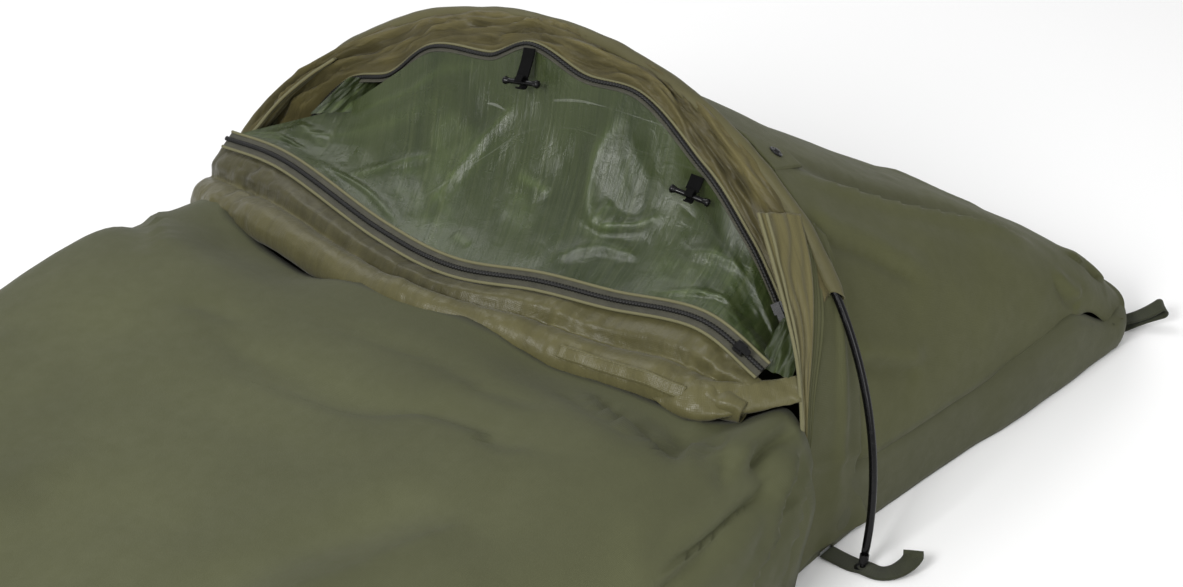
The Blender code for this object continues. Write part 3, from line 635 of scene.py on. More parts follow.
def folded(grid, folds, gain):
    """The grid moved along its normals by all its folds and a slow swell, with painted shade in its valleys
    and painted light on its ridges.
    """
    normal = unit(np.cross(np.gradient(grid, axis=0), np.gradient(grid, axis=1)))
    lift = np.zeros(grid.shape[:2])
    for path, width, depth, toward, ridge in folds:
        lift += fold(grid, path, width, depth, toward, ridge)
    lift *= gain
    lift += 0.005 * noise(grid, 0.24, 3) + 0.0026 * noise(grid, 0.09, 5) + 0.0008 * noise(grid, 0.035, 8)
    # tone: painted shade where the cloth sinks, painted light where it rises
    tone = 1.0 + np.clip(lift * 14.0, -0.16, 0.08)
    grid = grid + normal * lift[..., None]
    grid[..., 2] = np.maximum(grid[..., 2], 0.0012)
    return grid, tone


# ---------------------------------------------------------------- body cloth

BODY_ROWS, BODY_COLS = 210, 170


def body_front(y):
    """Where the body cloth starts: under the roll at the chest, beside the pleated strip down the sides."""
    line = curve(CHEST_LINE, 200)
    chest = np.interp(y, line[:, 1], line[:, 0])
    return mix(-0.046, chest - 0.074, smooth((0.412 - np.abs(y)) / 0.1))


def body_grid():
    share = evened(np.linspace(0, 1, BODY_COLS)[None, :])
    u = np.linspace(0, 1, BODY_ROWS)[:, None]
    reach = 1 - (1 - u) ** 1.75
    down = smooth(reach)
    full = mix(5.2, 3.6, down)
    top = mix(0.238, 0.128, down)
    y, z = arch_section(share + 0 * u, 1.0, 0.0, 1.0, full)
    low = smooth((0.4 - z) / 0.36)
    front = body_front(y * 0.444) - 0.036 * low
    x = mix(front, FOOT_X + 0.004, reach)
    y = y * (half_width(x) + 0.008 + 0.005 * np.sin(pi * np.clip(z, 0, 1)))
    past = np.clip(np.abs(y) - (FOOT_HALF_WIDTH + 0.008 - CORNER), 0, CORNER)
    x = np.maximum(x, FOOT_X - 0.004 + CORNER - np.sqrt(CORNER ** 2 - past ** 2))
    z = 0.004 + z * (top - 0.004)
    raised = 0.012 + 0.014 * smooth((-0.19 - x) / 0.1)
    z = z + raised * smooth((y - 0.05) / 0.3) * smooth((x + 0.75) / 0.55) * smooth((0.455 - y) / 0.08)
    reach_y = np.where(y < 0, 0.408, 0.455)
    beside = smooth((np.abs(y) - 0.06) / 0.12) * smooth((reach_y - np.abs(y)) / 0.05)
    dip = np.where(y < 0, 0.036, mix(0.036, 0.014, smooth((y - 0.25) / 0.12)))
    z = z - dip * smooth((x + 0.26) / 0.12) * beside * smooth((z - 0.1) / 0.06)
    z = z - 0.012 * smooth((x + 0.22) / 0.1) * smooth((0.1 - np.abs(y)) / 0.1)
    foot = smooth((u - 0.93) / 0.07)
    z = mix(z, 0.05 + 0.2 * z, foot * 0.8)
    return np.stack([x, y, z], axis=-1)


body, body_painted_shade = folded(body_grid(), BODY_FOLDS, 1.5)
body_piece = grid_object("body_cloth", body, SHELL, 0.001, tone=body_painted_shade)
dressed(body_piece, "front", "shell_fabric", "body_shell")


# ---------------------------------------------------------------- tub walls and floor

def end_line(end_x, half_end, start_x, side_count, end_count):
    """The tub's outline round one end, from its -Y side at the hoop to its +Y side."""
    way = np.sign(end_x)
    corner_x, corner_y = end_x - way * CORNER, half_end - CORNER
    x_side = np.linspace(start_x, corner_x, side_count)
    k = np.radians(np.linspace(-90, -90 + way * 90, 16))[1:]
    across = np.linspace(-corner_y, 0, end_count)[1:]
    half = np.vstack([
        np.stack([x_side, -half_width(x_side)], axis=1),
        np.stack([corner_x + CORNER * np.cos(k), CORNER * np.sin(k) - corner_y], axis=1),
        np.stack([np.full(end_count - 1, end_x), across], axis=1),
    ])
    return np.vstack([half, half[::-1][1:] * np.array((1, -1))])


def wall_grid(edge, high, bulge, flare, seed):
    """An upright band of cloth on the floor's edge, bulged out and rippled."""
    high, bulge, flare = (np.broadcast_to(v, len(edge))[:, None] for v in (high, bulge, flare))
    rise = np.linspace(0, 1, 15)
    path = np.column_stack([edge, np.zeros(len(edge))])
    along = tangents(path)
    out = np.cross(along, (0, 0, 1.0))
    centre = path.mean(axis=0)
    out = np.where(np.sum(out * (path - centre), axis=1, keepdims=True) < 0, -out, out)
    swell = np.sin(pi * rise) ** 0.8
    grid = path[:, None] + np.zeros((1, len(rise), 3))
    ripple = noise(path * (1, 1, 0), 0.045, seed) * 0.0035 + noise(path, 0.11, seed + 4) * 0.006
    shape = bulge * swell[None] + ripple[:, None] * np.sin(pi * (0.15 + 0.85 * rise))[None] ** 0.7
    tuck = -0.006 * smooth((rise - 0.8) / 0.2)
    grid = grid + out[:, None] * (shape + flare * (1 - rise)[None] ** 3 + tuck[None])[..., None]
    grid[..., 2] = mix(0.0015, high, rise[None])
    return grid


head_edge = end_line(HEAD_X, HEAD_HALF_WIDTH, 0.012, 60, 40)
head_bulge = 0.006 + 0.003 * smooth((head_edge[:, 0] - 0.4) / 0.2)
head_top = WALL_HEIGHT + 0.006 - 0.046 * smooth((head_edge[:, 0] - 0.465) / 0.1)
head_top += 0.01 * smooth((0.44 - np.abs(head_edge[:, 1])) / 0.1)
head_wall = wall_grid(head_edge, head_top, head_bulge, 0.003, 2)
head_wall_piece = grid_object("head_tub_cloth", head_wall, TUB, 0.0012, flip=True)
dressed(head_wall_piece, "behind", "tub_fabric", "head_tub_wall")
foot_line = end_line(FOOT_X, FOOT_HALF_WIDTH, -0.006, 110, 30)
foot_wall = wall_grid(foot_line, WALL_HEIGHT + 0.003, -0.004, -0.001, 7)
foot_wall_piece = grid_object("foot_tub_cloth", foot_wall, SHELL, 0.0012)
dressed(foot_wall_piece, "front", "tub_fabric", "foot_tub_wall")


def floor_cloth():
    """The floor, a flat panel from side to side with slow ripples on top."""
    rows = 120
    x = np.linspace(FOOT_X + 0.002, HEAD_X - 0.002, rows)
    near_end = np.minimum(x - FOOT_X, HEAD_X - x)
    cut = CORNER - np.sqrt(np.maximum(CORNER ** 2 - (CORNER - np.minimum(near_end, CORNER)) ** 2, 0))
    w = half_width(x) - cut - 0.0015
    s = np.linspace(-1, 1, 60)
    grid = np.zeros((rows, 60, 3))
    grid[..., 0] = x[:, None]
    grid[..., 1] = w[:, None] * s[None]
    grid[..., 2] = 0.0012 + 0.0009 * (1 + noise(grid, 0.06, 9))
    return grid


floor_piece = grid_object("floor_cloth", floor_cloth(), TUB, 0.001, flip=True)
dressed(floor_piece, "root", "tub_fabric", "ground_sheet")


# ---------------------------------------------------------------- hood

HOOD_U = np.linspace(0, 1, 130) ** 1.05
HOOD_V = evened(np.linspace(0, 1, 190))


def hood_point(u, v):
    """The hood behind the hoop: it falls to the head end and rounds over its edge and corners."""
    end = smooth((u - 0.86) / 0.14)
    width = mix(HOOP_HALF_WIDTH - 0.006, HEAD_HALF_WIDTH + 0.002, u ** 0.7)
    top = mix(0.446, WALL_HEIGHT + 0.01, u / 0.93) - 0.022 * end
    top = np.maximum(top, 0.052)
    fullness = mix(2.45, 3.6, u ** 1.2)
    base = WALL_HEIGHT - 0.004 - 0.046 * smooth((u - 0.74) / 0.22)
    y, z = arch_section(v, width, base, top, fullness)
    corner = 0.075
    past = np.clip(np.abs(y) - (HEAD_HALF_WIDTH - corner), 0, corner)
    last = HEAD_X + 0.01 - (corner - np.sqrt(np.maximum(corner ** 2 - past ** 2, 0))) * 0.9
    x = mix(HOOP_LEAN * z + 0.01, last, np.sin(pi / 2 * u) * 0.35 + u * 0.65)
    return np.stack([x, y, z], axis=-1)


def hood_grid():
    u, v = HOOD_U[:, None], HOOD_V[None, :]
    grid = hood_point(u + 0 * v, v + 0 * u)
    sag = np.sin(pi * u) ** 0.9 * np.sin(pi * v) ** 2
    grid[..., 2] -= 0.012 * sag
    return grid


hood, hood_painted_shade = folded(hood_grid(), HOOD_FOLDS, 1.4)
hood_piece = grid_object("hood_cloth_panel", hood, HOOD, 0.001, tone=hood_painted_shade)
dressed(hood_piece, "behind", "shell_fabric", "head_shell")


# ---------------------------------------------------------------- side gussets, strips and bands

def side_cloth(lines, count, cols, side, lift=0.0):
    """A panel between lines of (x, y, z) points, given for the -Y side, from back to front."""
    paths = [resample(curve(line, 60), count) for line in lines]
    place = np.linspace(0, len(paths) - 1, cols)
    stack = np.stack(paths, axis=1)
    k = np.minimum(place.astype(int), len(paths) - 2)
    t = (place - k)[None, :, None]
    grid = stack[:, k] * (1 - t) + stack[:, k + 1] * t
    grid[..., 1] -= lift
    grid[..., 1] *= -side
    if side > 0:
        pull = smooth((grid[..., 2] - 0.2) / 0.08)
        grid[..., 1] -= 0.016 * pull
        grid[..., 0] += 0.006 * pull
    return grid


STRIP_BACK = [(.025, -.301, .366), (.006, -.328, .342), (-.014, -.36, .306), (-.032, -.392, .257),
              (-.042, -.408, .208), (-.047, -.415, .165), (-.047, -.421, .109), (-.049, -.426, .087),
              (-.062, -.431, .06), (-.076, -.433, .018)]
STRIP_MID = [(.071, -.326, .353), (.039, -.364, .311), (.003, -.392, .263), (-.03, -.411, .205),
             (-.04, -.418, .165), (-.043, -.422, .115), (-.045, -.427, .087), (-.058, -.431, .06),
             (-.072, -.434, .018)]
BAND_FRONT = [(.085, -.34, .338), (.062, -.362, .305), (.03, -.392, .262), (-.012, -.412, .205),
              (-.026, -.419, .16), (-.04, -.423, .115), (-.043, -.427, .087), (-.056, -.432, .06),
              (-.07, -.434, .018)]
GUSSET_FRONT = [(.092, -.35, .325), (.082, -.372, .297), (.072, -.396, .257), (.066, -.41, .216),
                (.064, -.418, .18), (.064, -.424, .12), (.052, -.427, .087), (.062, -.429, .05),
                (.078, -.43, .004)]


def make_side(word, side):
    strip = side_cloth([STRIP_BACK, STRIP_MID], 110, 26, side, 0.0035)
    s = np.linspace(0, 1, 26)[None, :]
    run = np.linspace(0, 1, 111)[:, None]
    out = np.array((-0.35, side * 0.94, 0.15))
    pleats = 0.0022 * np.sin(2 * pi * 2.5 * s + 4.0 * noise(strip, 0.05, 11)) * np.sin(pi * s)
    piping = 0.0026 * (np.exp(-((s - 0.03) / 0.05) ** 2) + 0.8 * np.exp(-((s - 0.2) / 0.05) ** 2)
                       + 0.7 * np.exp(-((s - 0.96) / 0.05) ** 2))
    strip = strip + out * ((pleats + piping) * smooth((1 - run) / 0.3) + 0.001)[..., None]
    piece = grid_object(f"{word}_pleated_strip", strip, STRIP, 0.0012, flip=side > 0)
    dressed(piece, "front", "lining_fabric", f"{word}_side_strip")
    for at, name in ((1, "a"), (5, "b")):
        path = strip[:96, at] + out * 0.0006
        pipe = tube(f"{word}_strip_piping_{name}", path, (1, 0, 0.3), ring(0.0019, 0.0019, 8), PIPING)
        dressed(pipe, "front", "shell_fabric")
    ribbed = side_cloth([STRIP_MID, BAND_FRONT], 110, 18, side, 0.0022)
    s = np.linspace(0, 1, 18)[None, :]
    ribbed = ribbed + out * (0.0012 * np.sin(2 * pi * 4 * s) * smooth((1 - run) / 0.3))[..., None]
    edge = grid_object(f"{word}_ribbed_band", ribbed, GUSSET, 0.0012, flip=side > 0)
    dressed(edge, "front", "shell_fabric")
    gusset = side_cloth([BAND_FRONT, GUSSET_FRONT], 120, 40, side)
    s = np.linspace(0, 1, 40)[None, :]
    run = np.linspace(0, 1, 121)[:, None]
    back_fold = 0.005 * np.exp(-((s - 0.62) / 0.1) ** 2) * smooth(run / 0.2) * smooth((0.86 - run) / 0.2)
    low_seam = 0.003 * np.exp(-((run - 0.7) / 0.02) ** 2)
    crush = 0.0045 * noise(gusset, 0.05, 21) * smooth((run - 0.55) / 0.3) + 0.0018 * noise(gusset, 0.03, 5)
    gusset = gusset + np.array((0.0, side, 0.0)) * (back_fold + low_seam + crush)[..., None]
    panel = grid_object(f"{word}_gusset_cloth", gusset, GUSSET, 0.001, flip=side > 0)
    dressed(panel, "front", "shell_fabric", f"{word}_side_gusset")
    return piece, edge, panel


sides = {word: make_side(word, side) for word, side in SIDES.items()}


# ---------------------------------------------------------------- sleeve, storm flap and arch zip

ARCH_COUNT = 260


def flap_grid():
    shares = np.linspace(-0.055, 1.13, ARCH_COUNT + 1)
    turns = arch_turn(shares)
    first = hoop_turn(0.29)
    inner = arch_point(turns)
    outer = hoop_point(mix(first, pi - first, np.clip(shares, 0, 1.1)))
    far = smooth((shares - 0.76) / 0.14)[:, None]
    away = unit(inner - outer)
    start = outer - away * 0.002 + np.array((-0.046, 0.006, -0.004)) * far
    end = inner - away * (TAPE_WIDTH / 2 - 0.003)
    s = np.linspace(0, 1, 25)[None, :, None]
    grid = start[:, None] * (1 - s) + end[:, None] * s
    along = tangents(inner)
    out = unit(np.cross(along, away))
    s = s[..., 0]
    run = shares[:, None]
    key = stacked(run * 5.0, s * 2.6 + 0.9 * noise(grid, 0.16, 31), 0.0)
    long_folds = noise(key, 0.42, 6) + 0.6 * noise(key * (1.6, 1, 1), 0.24, 13)
    sharp = 1 - np.abs(noise(key * (0.8, 1.7, 1), 0.3, 19)) * 1.6
    crown = np.sin(pi * np.clip(s * 1.05, 0, 1)) ** 0.7
    lift = crown * (0.0058 + 0.009 * long_folds + 0.0052 * sharp) + 0.0055 * (1 - s) ** 2
    lift += 0.0012 * noise(grid, 0.022, 2)
    # tone: painted shade in the fold valleys, painted highlights on the ridges and sharp creases
    tone = 0.46 + 0.66 * smooth((long_folds * crown + 0.6) / 1.3) + 0.16 * smooth((sharp - 0.7) / 0.3)
    return grid + out[:, None] * lift[..., None], tone


flap, flap_painted_shade = flap_grid()
flap_piece = grid_object("flap_cloth", flap, FLAP, 0.001, flip=True, tone=flap_painted_shade)
dressed(flap_piece, "hoop", "lining_fabric", "storm_flap")


def sleeve_tube():
    first = hoop_turn(0.28)
    turns = np.linspace(first, pi - first, 241)
    path = hoop_point(turns)
    outline = ring(SLEEVE_RADIUS, 0.0084, 22)
    grid = carried(path, AHEAD, outline)
    a, b = outline[None, :, 0], outline[None, :, 1]
    radial = unit(grid - path[:, None])
    long_folds = noise(stacked(turns[:, None] * 0.9, a * 22.0, b * 22.0), 0.2, 4)
    pucker = 0.0015 * long_folds + 0.0012 * noise(grid, 0.024, 3) + 0.0014 * noise(grid, 0.06, 6)
    grid = grid + radial * pucker[..., None]
    tail = smooth((0.03 - np.minimum(turns - first, pi - first - turns)) / 0.03)
    grid = grid - radial * (0.0022 * tail)[:, None, None]
    slide = np.minimum(np.arange(241), 240 - np.arange(241))
    skew = np.exp(-slide / 4.0)
    sign = np.where(turns < pi / 2, 1.0, -1.0)
    along = tangents(path)
    shift = (skew * sign)[:, None] * (-0.006 * a / SLEEVE_RADIUS)
    grid = grid + along[:, None] * shift[..., None]
    grid = np.concatenate([grid, grid[:, :1]], axis=1)
    return grid


sleeve_piece = grid_object("sleeve_cloth_tube", sleeve_tube(), SLEEVE, 0.0011, flip=True)
dressed(sleeve_piece, "hoop", "shell_fabric", "pole_sleeve", "left_sleeve_hem", "right_sleeve_hem")


def coil_sizes(count):
    """How thick a zip's coil is from point to point: four points to a tooth."""
    return 1.0 + 0.2 * np.cos(np.arange(count) * pi / 2)


def arch_zip_parts():
    turns = arch_turn(np.linspace(0.0, 1.0, ARCH_COUNT + 1))
    path = arch_point(turns)
    tape = tube("arch_tape_cloth", path, across_arch(turns), band(0.0105, 0.0012, 9, 0.0004), TAPE)
    dressed(tape, "hoop", "zip_tape", "arch_zip_tape")
    _, across, up = frames(path, across_arch(turns))
    coil_path = resample(path + up * 0.003, 900)
    _, fine_across, _ = frames(coil_path, across_arch(arch_turn(np.linspace(0, 1, 901))))
    coil = tube("arch_coil_teeth", coil_path, fine_across, ring(0.0023, 0.002, 8), COIL, coil_sizes(901))
    dressed(coil, "hoop", "zip_coil", "arch_zip_coil")
    hem = path - across * 0.0048 + up * 0.0012
    seam = tube("arch_tape_piping", hem, across, ring(0.0017, 0.0013, 8), PIPING)
    dressed(seam, "hoop", "zip_tape")


arch_zip_parts()


def chest_zip_parts():
    shares = np.linspace(0.01, 0.988, 241)
    path = chest_point(shares)
    _, across, up = frames(path, CHEST_ACROSS)
    width = CHEST_TAPE
    half = width / 2 + 0.0004
    for name, shift, node in (("chest_tape_door_side", -half, "chest_zip_door_tape"),
                              ("chest_tape_net_side", half, "chest_zip_net_tape")):
        outline = band(width, 0.0012, 9, 0.0003)
        outline[:, 0] += shift
        tape = tube(name, path, CHEST_ACROSS, outline, TAPE)
        dressed(tape, "front", "zip_tape", node)
    coil_path = resample(path - up * 0.0022, 840)
    coil = tube("chest_coil_teeth", coil_path, CHEST_ACROSS, ring(0.0026, 0.002, 8), COIL, coil_sizes(841))
    dressed(coil, "front", "zip_coil", "chest_zip_coil")
    for name, shift in (("chest_piping_door_side", -width), ("chest_piping_net_side", width)):
        line = path + across * shift - up * 0.0008
        seam = tube(name, line, CHEST_ACROSS, ring(0.0018, 0.0014, 8), PIPING)
        dressed(seam, "front", "zip_tape")


chest_zip_parts()


# ---------------------------------------------------------------- net

# Folds of the net: lines over its own width and drop (shares), width, height, and the strength of the painted
# glint (a lighter line) that they carry
NET_FOLDS = (
    ([(.53, .16), (.59, .32), (.63, .53), (.67, .87)], .007, .0085, .55),
    ([(.58, .16), (.64, .32), (.68, .5), (.71, .8)], .016, -.006, -.2),
    ([(.59, .02), (.66, .07), (.72, .13), (.83, .13)], .007, .008, .45),
    ([(.66, .2), (.74, .28), (.82, .34), (.9, .45)], .014, .007, .35),
    ([(.91, .02), (.88, .3), (.84, .6)], .007, .006, .4),
    ([(.94, .3), (.9, .6), (.86, .76)], .006, .005, .35),
    ([(.82, .84), (.76, .84), (.69, .98)], .006, .006, .6),
    ([(.8, .83), (.74, .57), (.66, .45)], .006, .0055, .45),
    ([(.37, .08), (.4, .24), (.4, .45), (.38, .65)], .008, .009, .7),
    ([(.33, .1), (.35, .26), (.35, .42), (.34, .56)], .02, -.008, .25),
    ([(.38, .65), (.34, .58), (.3, .47), (.27, .33)], .006, .0075, .75),
    ([(.38, .65), (.37, .55), (.36, .45)], .005, .006, .6),
    ([(.44, .92), (.35, .73), (.27, .66)], .009, .007, .4),
    ([(.22, .96), (.17, .82), (.1, .61)], .007, .0065, .5),
    ([(.22, .52), (.17, .34), (.11, .2)], .01, .007, .35),
    ([(.53, .47), (.46, .52)], .008, .005, .95),
    ([(.6, .84), (.56, .9)], .008, .0045, .75),
    ([(.27, .06), (.22, .12), (.14, .3)], .012, -.006, -.25),
)


def net_grid():
    """The net: sewn to the arch zip down to a free edge on the far side, and hanging to the chest zip."""
    rows, cols = 260, 150
    u = np.linspace(0.008, 0.988, rows)
    v = np.linspace(0, 1, cols)
    turns = arch_turn(u)
    away = across_arch(turns)
    upper = arch_point(turns) + away * 0.004
    lower = chest_point(mix(0.016, 0.988, u)) + CHEST_ACROSS * (CHEST_TAPE - 0.001)
    first = np.argmin(np.abs(u - 0.7))
    bend = np.argmin(np.abs(u - 0.84))
    corner = upper[bend] * 0.8 + lower[bend] * 0.2 + np.array((0.0, 0.0, -0.012))
    k = np.arange(rows)[:, None]
    before = upper[first] + (corner - upper[first]) * (k - first) / (bend - first)
    after = corner + (lower[-1] - corner) * (k - bend) / (rows - 1 - bend)
    free = np.where(k < bend, before, after)
    upper = np.where(k < first, upper, free)
    grid = upper[:, None] * (1 - v)[None, :, None] + lower[:, None] * v[None, :, None]
    drop = np.linalg.norm(upper - lower, axis=1)
    hang = 0.13 * np.minimum(drop, 0.26)[:, None] * np.sin(pi * v ** 0.9)[None, :]
    grid = grid + np.array((0.3, 0.0, -1.0)) * hang[..., None]
    flat = stacked(u[:, None] * NET_WIDTH, v[None, :] * NET_DROP, 0.0)
    lift = np.zeros((rows, cols))
    painted_glint = np.zeros((rows, cols))
    for line, width, height, shine in NET_FOLDS:
        path = [(a * NET_WIDTH, b * NET_DROP, 0.0) for a, b in line]
        mark = fold(flat, path, width * 1.35, 1.0)
        lift += 0.62 * height * mark
        # painted glint: a lighter line beside each fold, broken up by noise; shine sets its strength
        broken = 0.55 + 0.45 * noise(flat, 0.018, 5)
        painted_glint += shine * fold(flat + (0.002, 0.001, 0), path, width * 0.75, 1.0) * broken
    lift += 0.0075 * noise(flat * (1.0, 0.5, 1), 0.085, 14) + 0.003 * noise(flat * (1, 0.7, 1), 0.036, 17)
    lift += 0.0011 * noise(flat * (1, 0.6, 1), 0.014, 23)
    for share, below, deep in ((0.52, 0.034, 0.01), (0.23, 0.022, 0.017)):
        beside = (flat[..., 0] - share * NET_WIDTH) / 0.04
        under = (v[None, :] * drop[:, None] - below) / 0.03
        lift -= deep * np.exp(-(beside ** 2) - under ** 2)
    inside = np.minimum(1, 4.5 * np.minimum(v, 1 - v))[None, :] ** 0.7
    inside = inside * smooth(drop / 0.06)[:, None]
    # soft brighter patches: a painted sheen, added to the painted glints in the tone
    soft = noise(flat * (1.0, 0.8, 1), 0.055, 41)
    patches = 0.45 * smooth((soft - 0.1) / 0.5) * (0.6 + 0.4 * noise(flat, 0.012, 3))
    tone = np.clip(0.86 + painted_glint + patches, 0.55, 1.9)
    normal = np.array((-0.62, -0.25, 0.74))
    return grid + normal * (lift * inside)[..., None], tone


net, net_painted_light = net_grid()
net_piece = grid_object("net_cloth", net, NET, 0.0, tone=net_painted_light)
dressed(net_piece, "front", "netting", "mosquito_net")


def net_scrap(word, corners, seed):
    """A crumpled end of the net that shows in the gap beside it. Corners run round its outline."""
    a, b, c, d = (np.array(p) for p in corners)
    u, v = np.meshgrid(np.linspace(0, 1, 46), np.linspace(0, 1, 60), indexing="ij")
    u, v = u[..., None], v[..., None]
    grid = (a * (1 - u) + b * u) * (1 - v) + (d * (1 - u) + c * u) * v
    normal = unit(np.cross(b - a, d - a))
    key = stacked(u[..., 0] * 0.05, v[..., 0] * 0.018, 0.0)
    crumple = 0.0042 * noise(key, 0.01, seed) + 0.0018 * noise(key, 0.004, seed + 2)
    # tone: brighter in random patches, painted highlights on the crumpled net
    tone = 0.85 + 0.9 * smooth(noise(key, 0.007, seed + 5))
    piece = grid_object(f"net_{word}_fold", grid + normal * crumple[..., None], NET, 0.0, tone=tone)
    dressed(piece, "front", "netting")
    return piece


scraps = [
    net_scrap("near", ((.02, -.35, .264), (.01, -.386, .262), (-.036, -.398, .226), (-.042, -.362, .232)), 3),
    net_scrap("far", ((.072, .25, .34), (.026, .268, .352), (-.026, .28, .322), (.018, .252, .316)), 8),
]


# ---------------------------------------------------------------- the rolled door

ROLL_EDGE = ((0.0, -.045, -.03), (0.12, -.078, -.062), (0.2, -.082, -.06), (0.3, -.085, -.047),
             (0.45, -.082, -.026), (0.6, -.08, -.01), (0.75, -.084, -.024), (0.85, -.082, -.052),
             (0.92, -.076, -.064), (1.0, -.062, -.07))
# The roll's section at the middle, as shares of the way from the zip to its lower edge, and heights over it
ROLL_SECTION = ((0.02, -.0035), (0.16, .0005), (0.3, .003), (0.4, -.003), (0.47, -.006), (0.54, .003),
                (0.66, .011), (0.8, .0125), (0.92, .0075), (1.0, -.003), (1.01, -.013), (0.94, -.021),
                (0.78, -.024), (0.58, -.022), (0.42, -.017), (0.46, -.01), (0.62, -.007), (0.78, -.008),
                (0.84, -.013), (0.76, -.018), (0.62, -.017))


def roll_grid():
    count, cols = 260, 96
    share = np.linspace(0.004, 0.996, count)
    zip_line = chest_point(share)
    edge = np.array(ROLL_EDGE)
    dx = np.interp(share, edge[:, 0], edge[:, 1])
    dz = np.interp(share, edge[:, 0], edge[:, 2])
    kernel = np.hanning(25)
    kernel /= kernel.sum()
    dx = np.convolve(np.pad(dx, 12, mode="edge"), kernel, "valid")
    dz = np.convolve(np.pad(dz, 12, mode="edge"), kernel, "valid")
    reach = np.stack([dx, 0 * dx, dz], axis=-1)
    along = tangents(zip_line)
    down = unit(reach)
    out = unit(np.cross(down, along))
    out = np.where(out[:, 2:] < 0, -out, out)
    section = curve([(a, b, 0) for a, b in ROLL_SECTION], cols - 1)
    ends = np.clip(np.minimum(share, 1 - share) / 0.045, 0, 1)
    close = np.sqrt(1 - (1 - ends) ** 2)
    start = zip_line - CHEST_ACROSS * (CHEST_TAPE - 0.004) - out * 0.0022
    length = np.linalg.norm(reach, axis=1) - 0.008
    a = section[None, :, 0] * length[:, None]
    b = section[None, :, 1] * (0.45 + 0.55 * close)[:, None]
    lean = 0.03 * noise(stacked(share * 2.0, 0.0, 0.0), 0.3, 5)
    a = a * (1 + lean[:, None] * np.sin(pi * np.clip(section[None, :, 0], 0, 1)))
    grid = start[:, None] + down[:, None] * a[..., None] + out[:, None] * b[..., None]
    girth = np.linspace(0, 1, cols)[None, :]
    face = smooth(girth / 0.05) * smooth((0.62 - girth) / 0.1)
    key = stacked(share[:, None] * 1.0 + 0.05 * girth, 0.22 * girth, 0.0)
    crinkle = 0.0034 * noise(key, 0.06, 3) + 0.0022 * noise(key * (1.0, 0.6, 1), 0.026, 7)
    crinkle += 0.001 * noise(key, 0.011, 9)
    spots = np.exp(-((share - 0.09) / 0.05) ** 2) + np.exp(-((share - 0.9) / 0.05) ** 2)
    crinkle += (0.0042 * noise(grid, 0.02, 12) + 0.003 * noise(grid, 0.009, 2)) * spots[:, None]
    # painted shade: a darker band along the zip where the roll tucks under it, stronger over the far half
    painted_band_shade = smooth((0.2 - girth) / 0.05) * (0.3 * smooth((share - 0.42) / 0.25) + 0.16)[:, None]
    # tone: the painted band shade, with painted shade in the crinkles' dips and painted highlights on their
    # tops
    tone = 1.0 - painted_band_shade + np.clip(crinkle * 26.0, -0.2, 0.16)
    # painted shade: the far half of the roll darker
    tone = tone * (1 - 0.17 * smooth((share - 0.42) / 0.2))[:, None]
    return grid + out[:, None] * (crinkle * face)[..., None], tone


roll, roll_painted_shade = roll_grid()
roll_piece = grid_object("rolled_door_cloth", roll, ROLL, 0.001, flip=True, tone=roll_painted_shade)
dressed(roll_piece, "front", "lining_fabric", "rolled_door")


def roll_tail(name, side):
    """One end of the roll, flattened and drawn in to the pleated strip."""
    path = curve([(-.12, side * .282, .206), (-.103, side * .33, .208), (-.074, side * .368, .212),
                  (-.036, side * .408, .219)], 90)
    outline = ring(0.017, 0.006, 30)
    run = np.linspace(0, 1, 91)
    emerge = mix(0.12, 1.0, np.sqrt(smooth(run / 0.4)))
    sizes = np.stack([mix(1.55, 0.85, smooth(run)) * emerge, mix(2.4, 0.9, run) * emerge], axis=1)
    out = (-0.55, side * 0.25, 0.8)
    tail = tube(name, path, np.cross(tangents(path), out), outline, ROLL, sizes)
    points = np.zeros(len(tail.data.vertices) * 3)
    tail.data.vertices.foreach_get("co", points)
    points = points.reshape(-1, 3)
    crush = 0.004 * noise(points, 0.022, 4) + 0.0018 * noise(points, 0.009, 8)
    points += np.array(out) * crush[:, None]
    tail.data.vertices.foreach_set("co", points.ravel())
    dressed(tail, "front", "lining_fabric")


roll_tail("roll_end_cloth", -1)
roll_tail("roll_far_end_cloth", 1)


def keeper_tab():
    rows = 60
    first, last = 26, 78
    at = np.linspace(first, last, rows).astype(int)
    path = roll[at, 34]
    path = resample(path, rows - 1)
    for _ in range(6):
        path[1:-1] = (path[:-2] + 2 * path[1:-1] + path[2:]) / 4
    along = tangents(path)
    across = unit(roll[at, 44] - roll[at, 26])
    up = np.cross(along, across)
    up = np.where(up[:, 2:] < 0, -up, up)
    path = path + up * 0.003
    outline = band(0.015, 0.0012, 11, 0.0006)
    tab = tube("keeper_tab_cloth", path, across, outline, ROLL)
    dressed(tab, "front", "lining_fabric", "door_keeper_tab")
    for name, shift in (("keeper_stitch_a", -0.0055), ("keeper_stitch_b", 0.0055)):
        line = resample(path + across * shift + up * 0.0012, 220)
        wave = 0.55 + 0.45 * np.sign(np.sin(np.arange(221) * 0.9))
        stitch = tube(name, line, up[0], ring(0.0005, 0.0005, 5), PIPING, 0.3 + 0.7 * wave)
        dressed(stitch, "front", "lining_fabric")


keeper_tab()


# ---------------------------------------------------------------- pole, tips and snaps

def pole_tubes():
    first = hoop_turn(TIP_HEIGHT)
    edges = np.linspace(first, pi - first, 5)
    for k in range(4):
        turns = np.linspace(edges[k], edges[k + 1], 41)
        path = hoop_point(turns)
        along = tangents(path)
        path[0] += along[0] * 0.0004
        path[-1] -= along[-1] * 0.0004
        sizes = np.ones(41)
        sizes[0] = sizes[-1] = 0.93
        piece = tube(f"pole_tube_{k + 1}", path, AHEAD, ring(POLE_RADIUS, POLE_RADIUS, 20), POLE, sizes)
        dressed(piece, "hoop", "pole_tube", f"pole_section_{k + 1}")


pole_tubes()


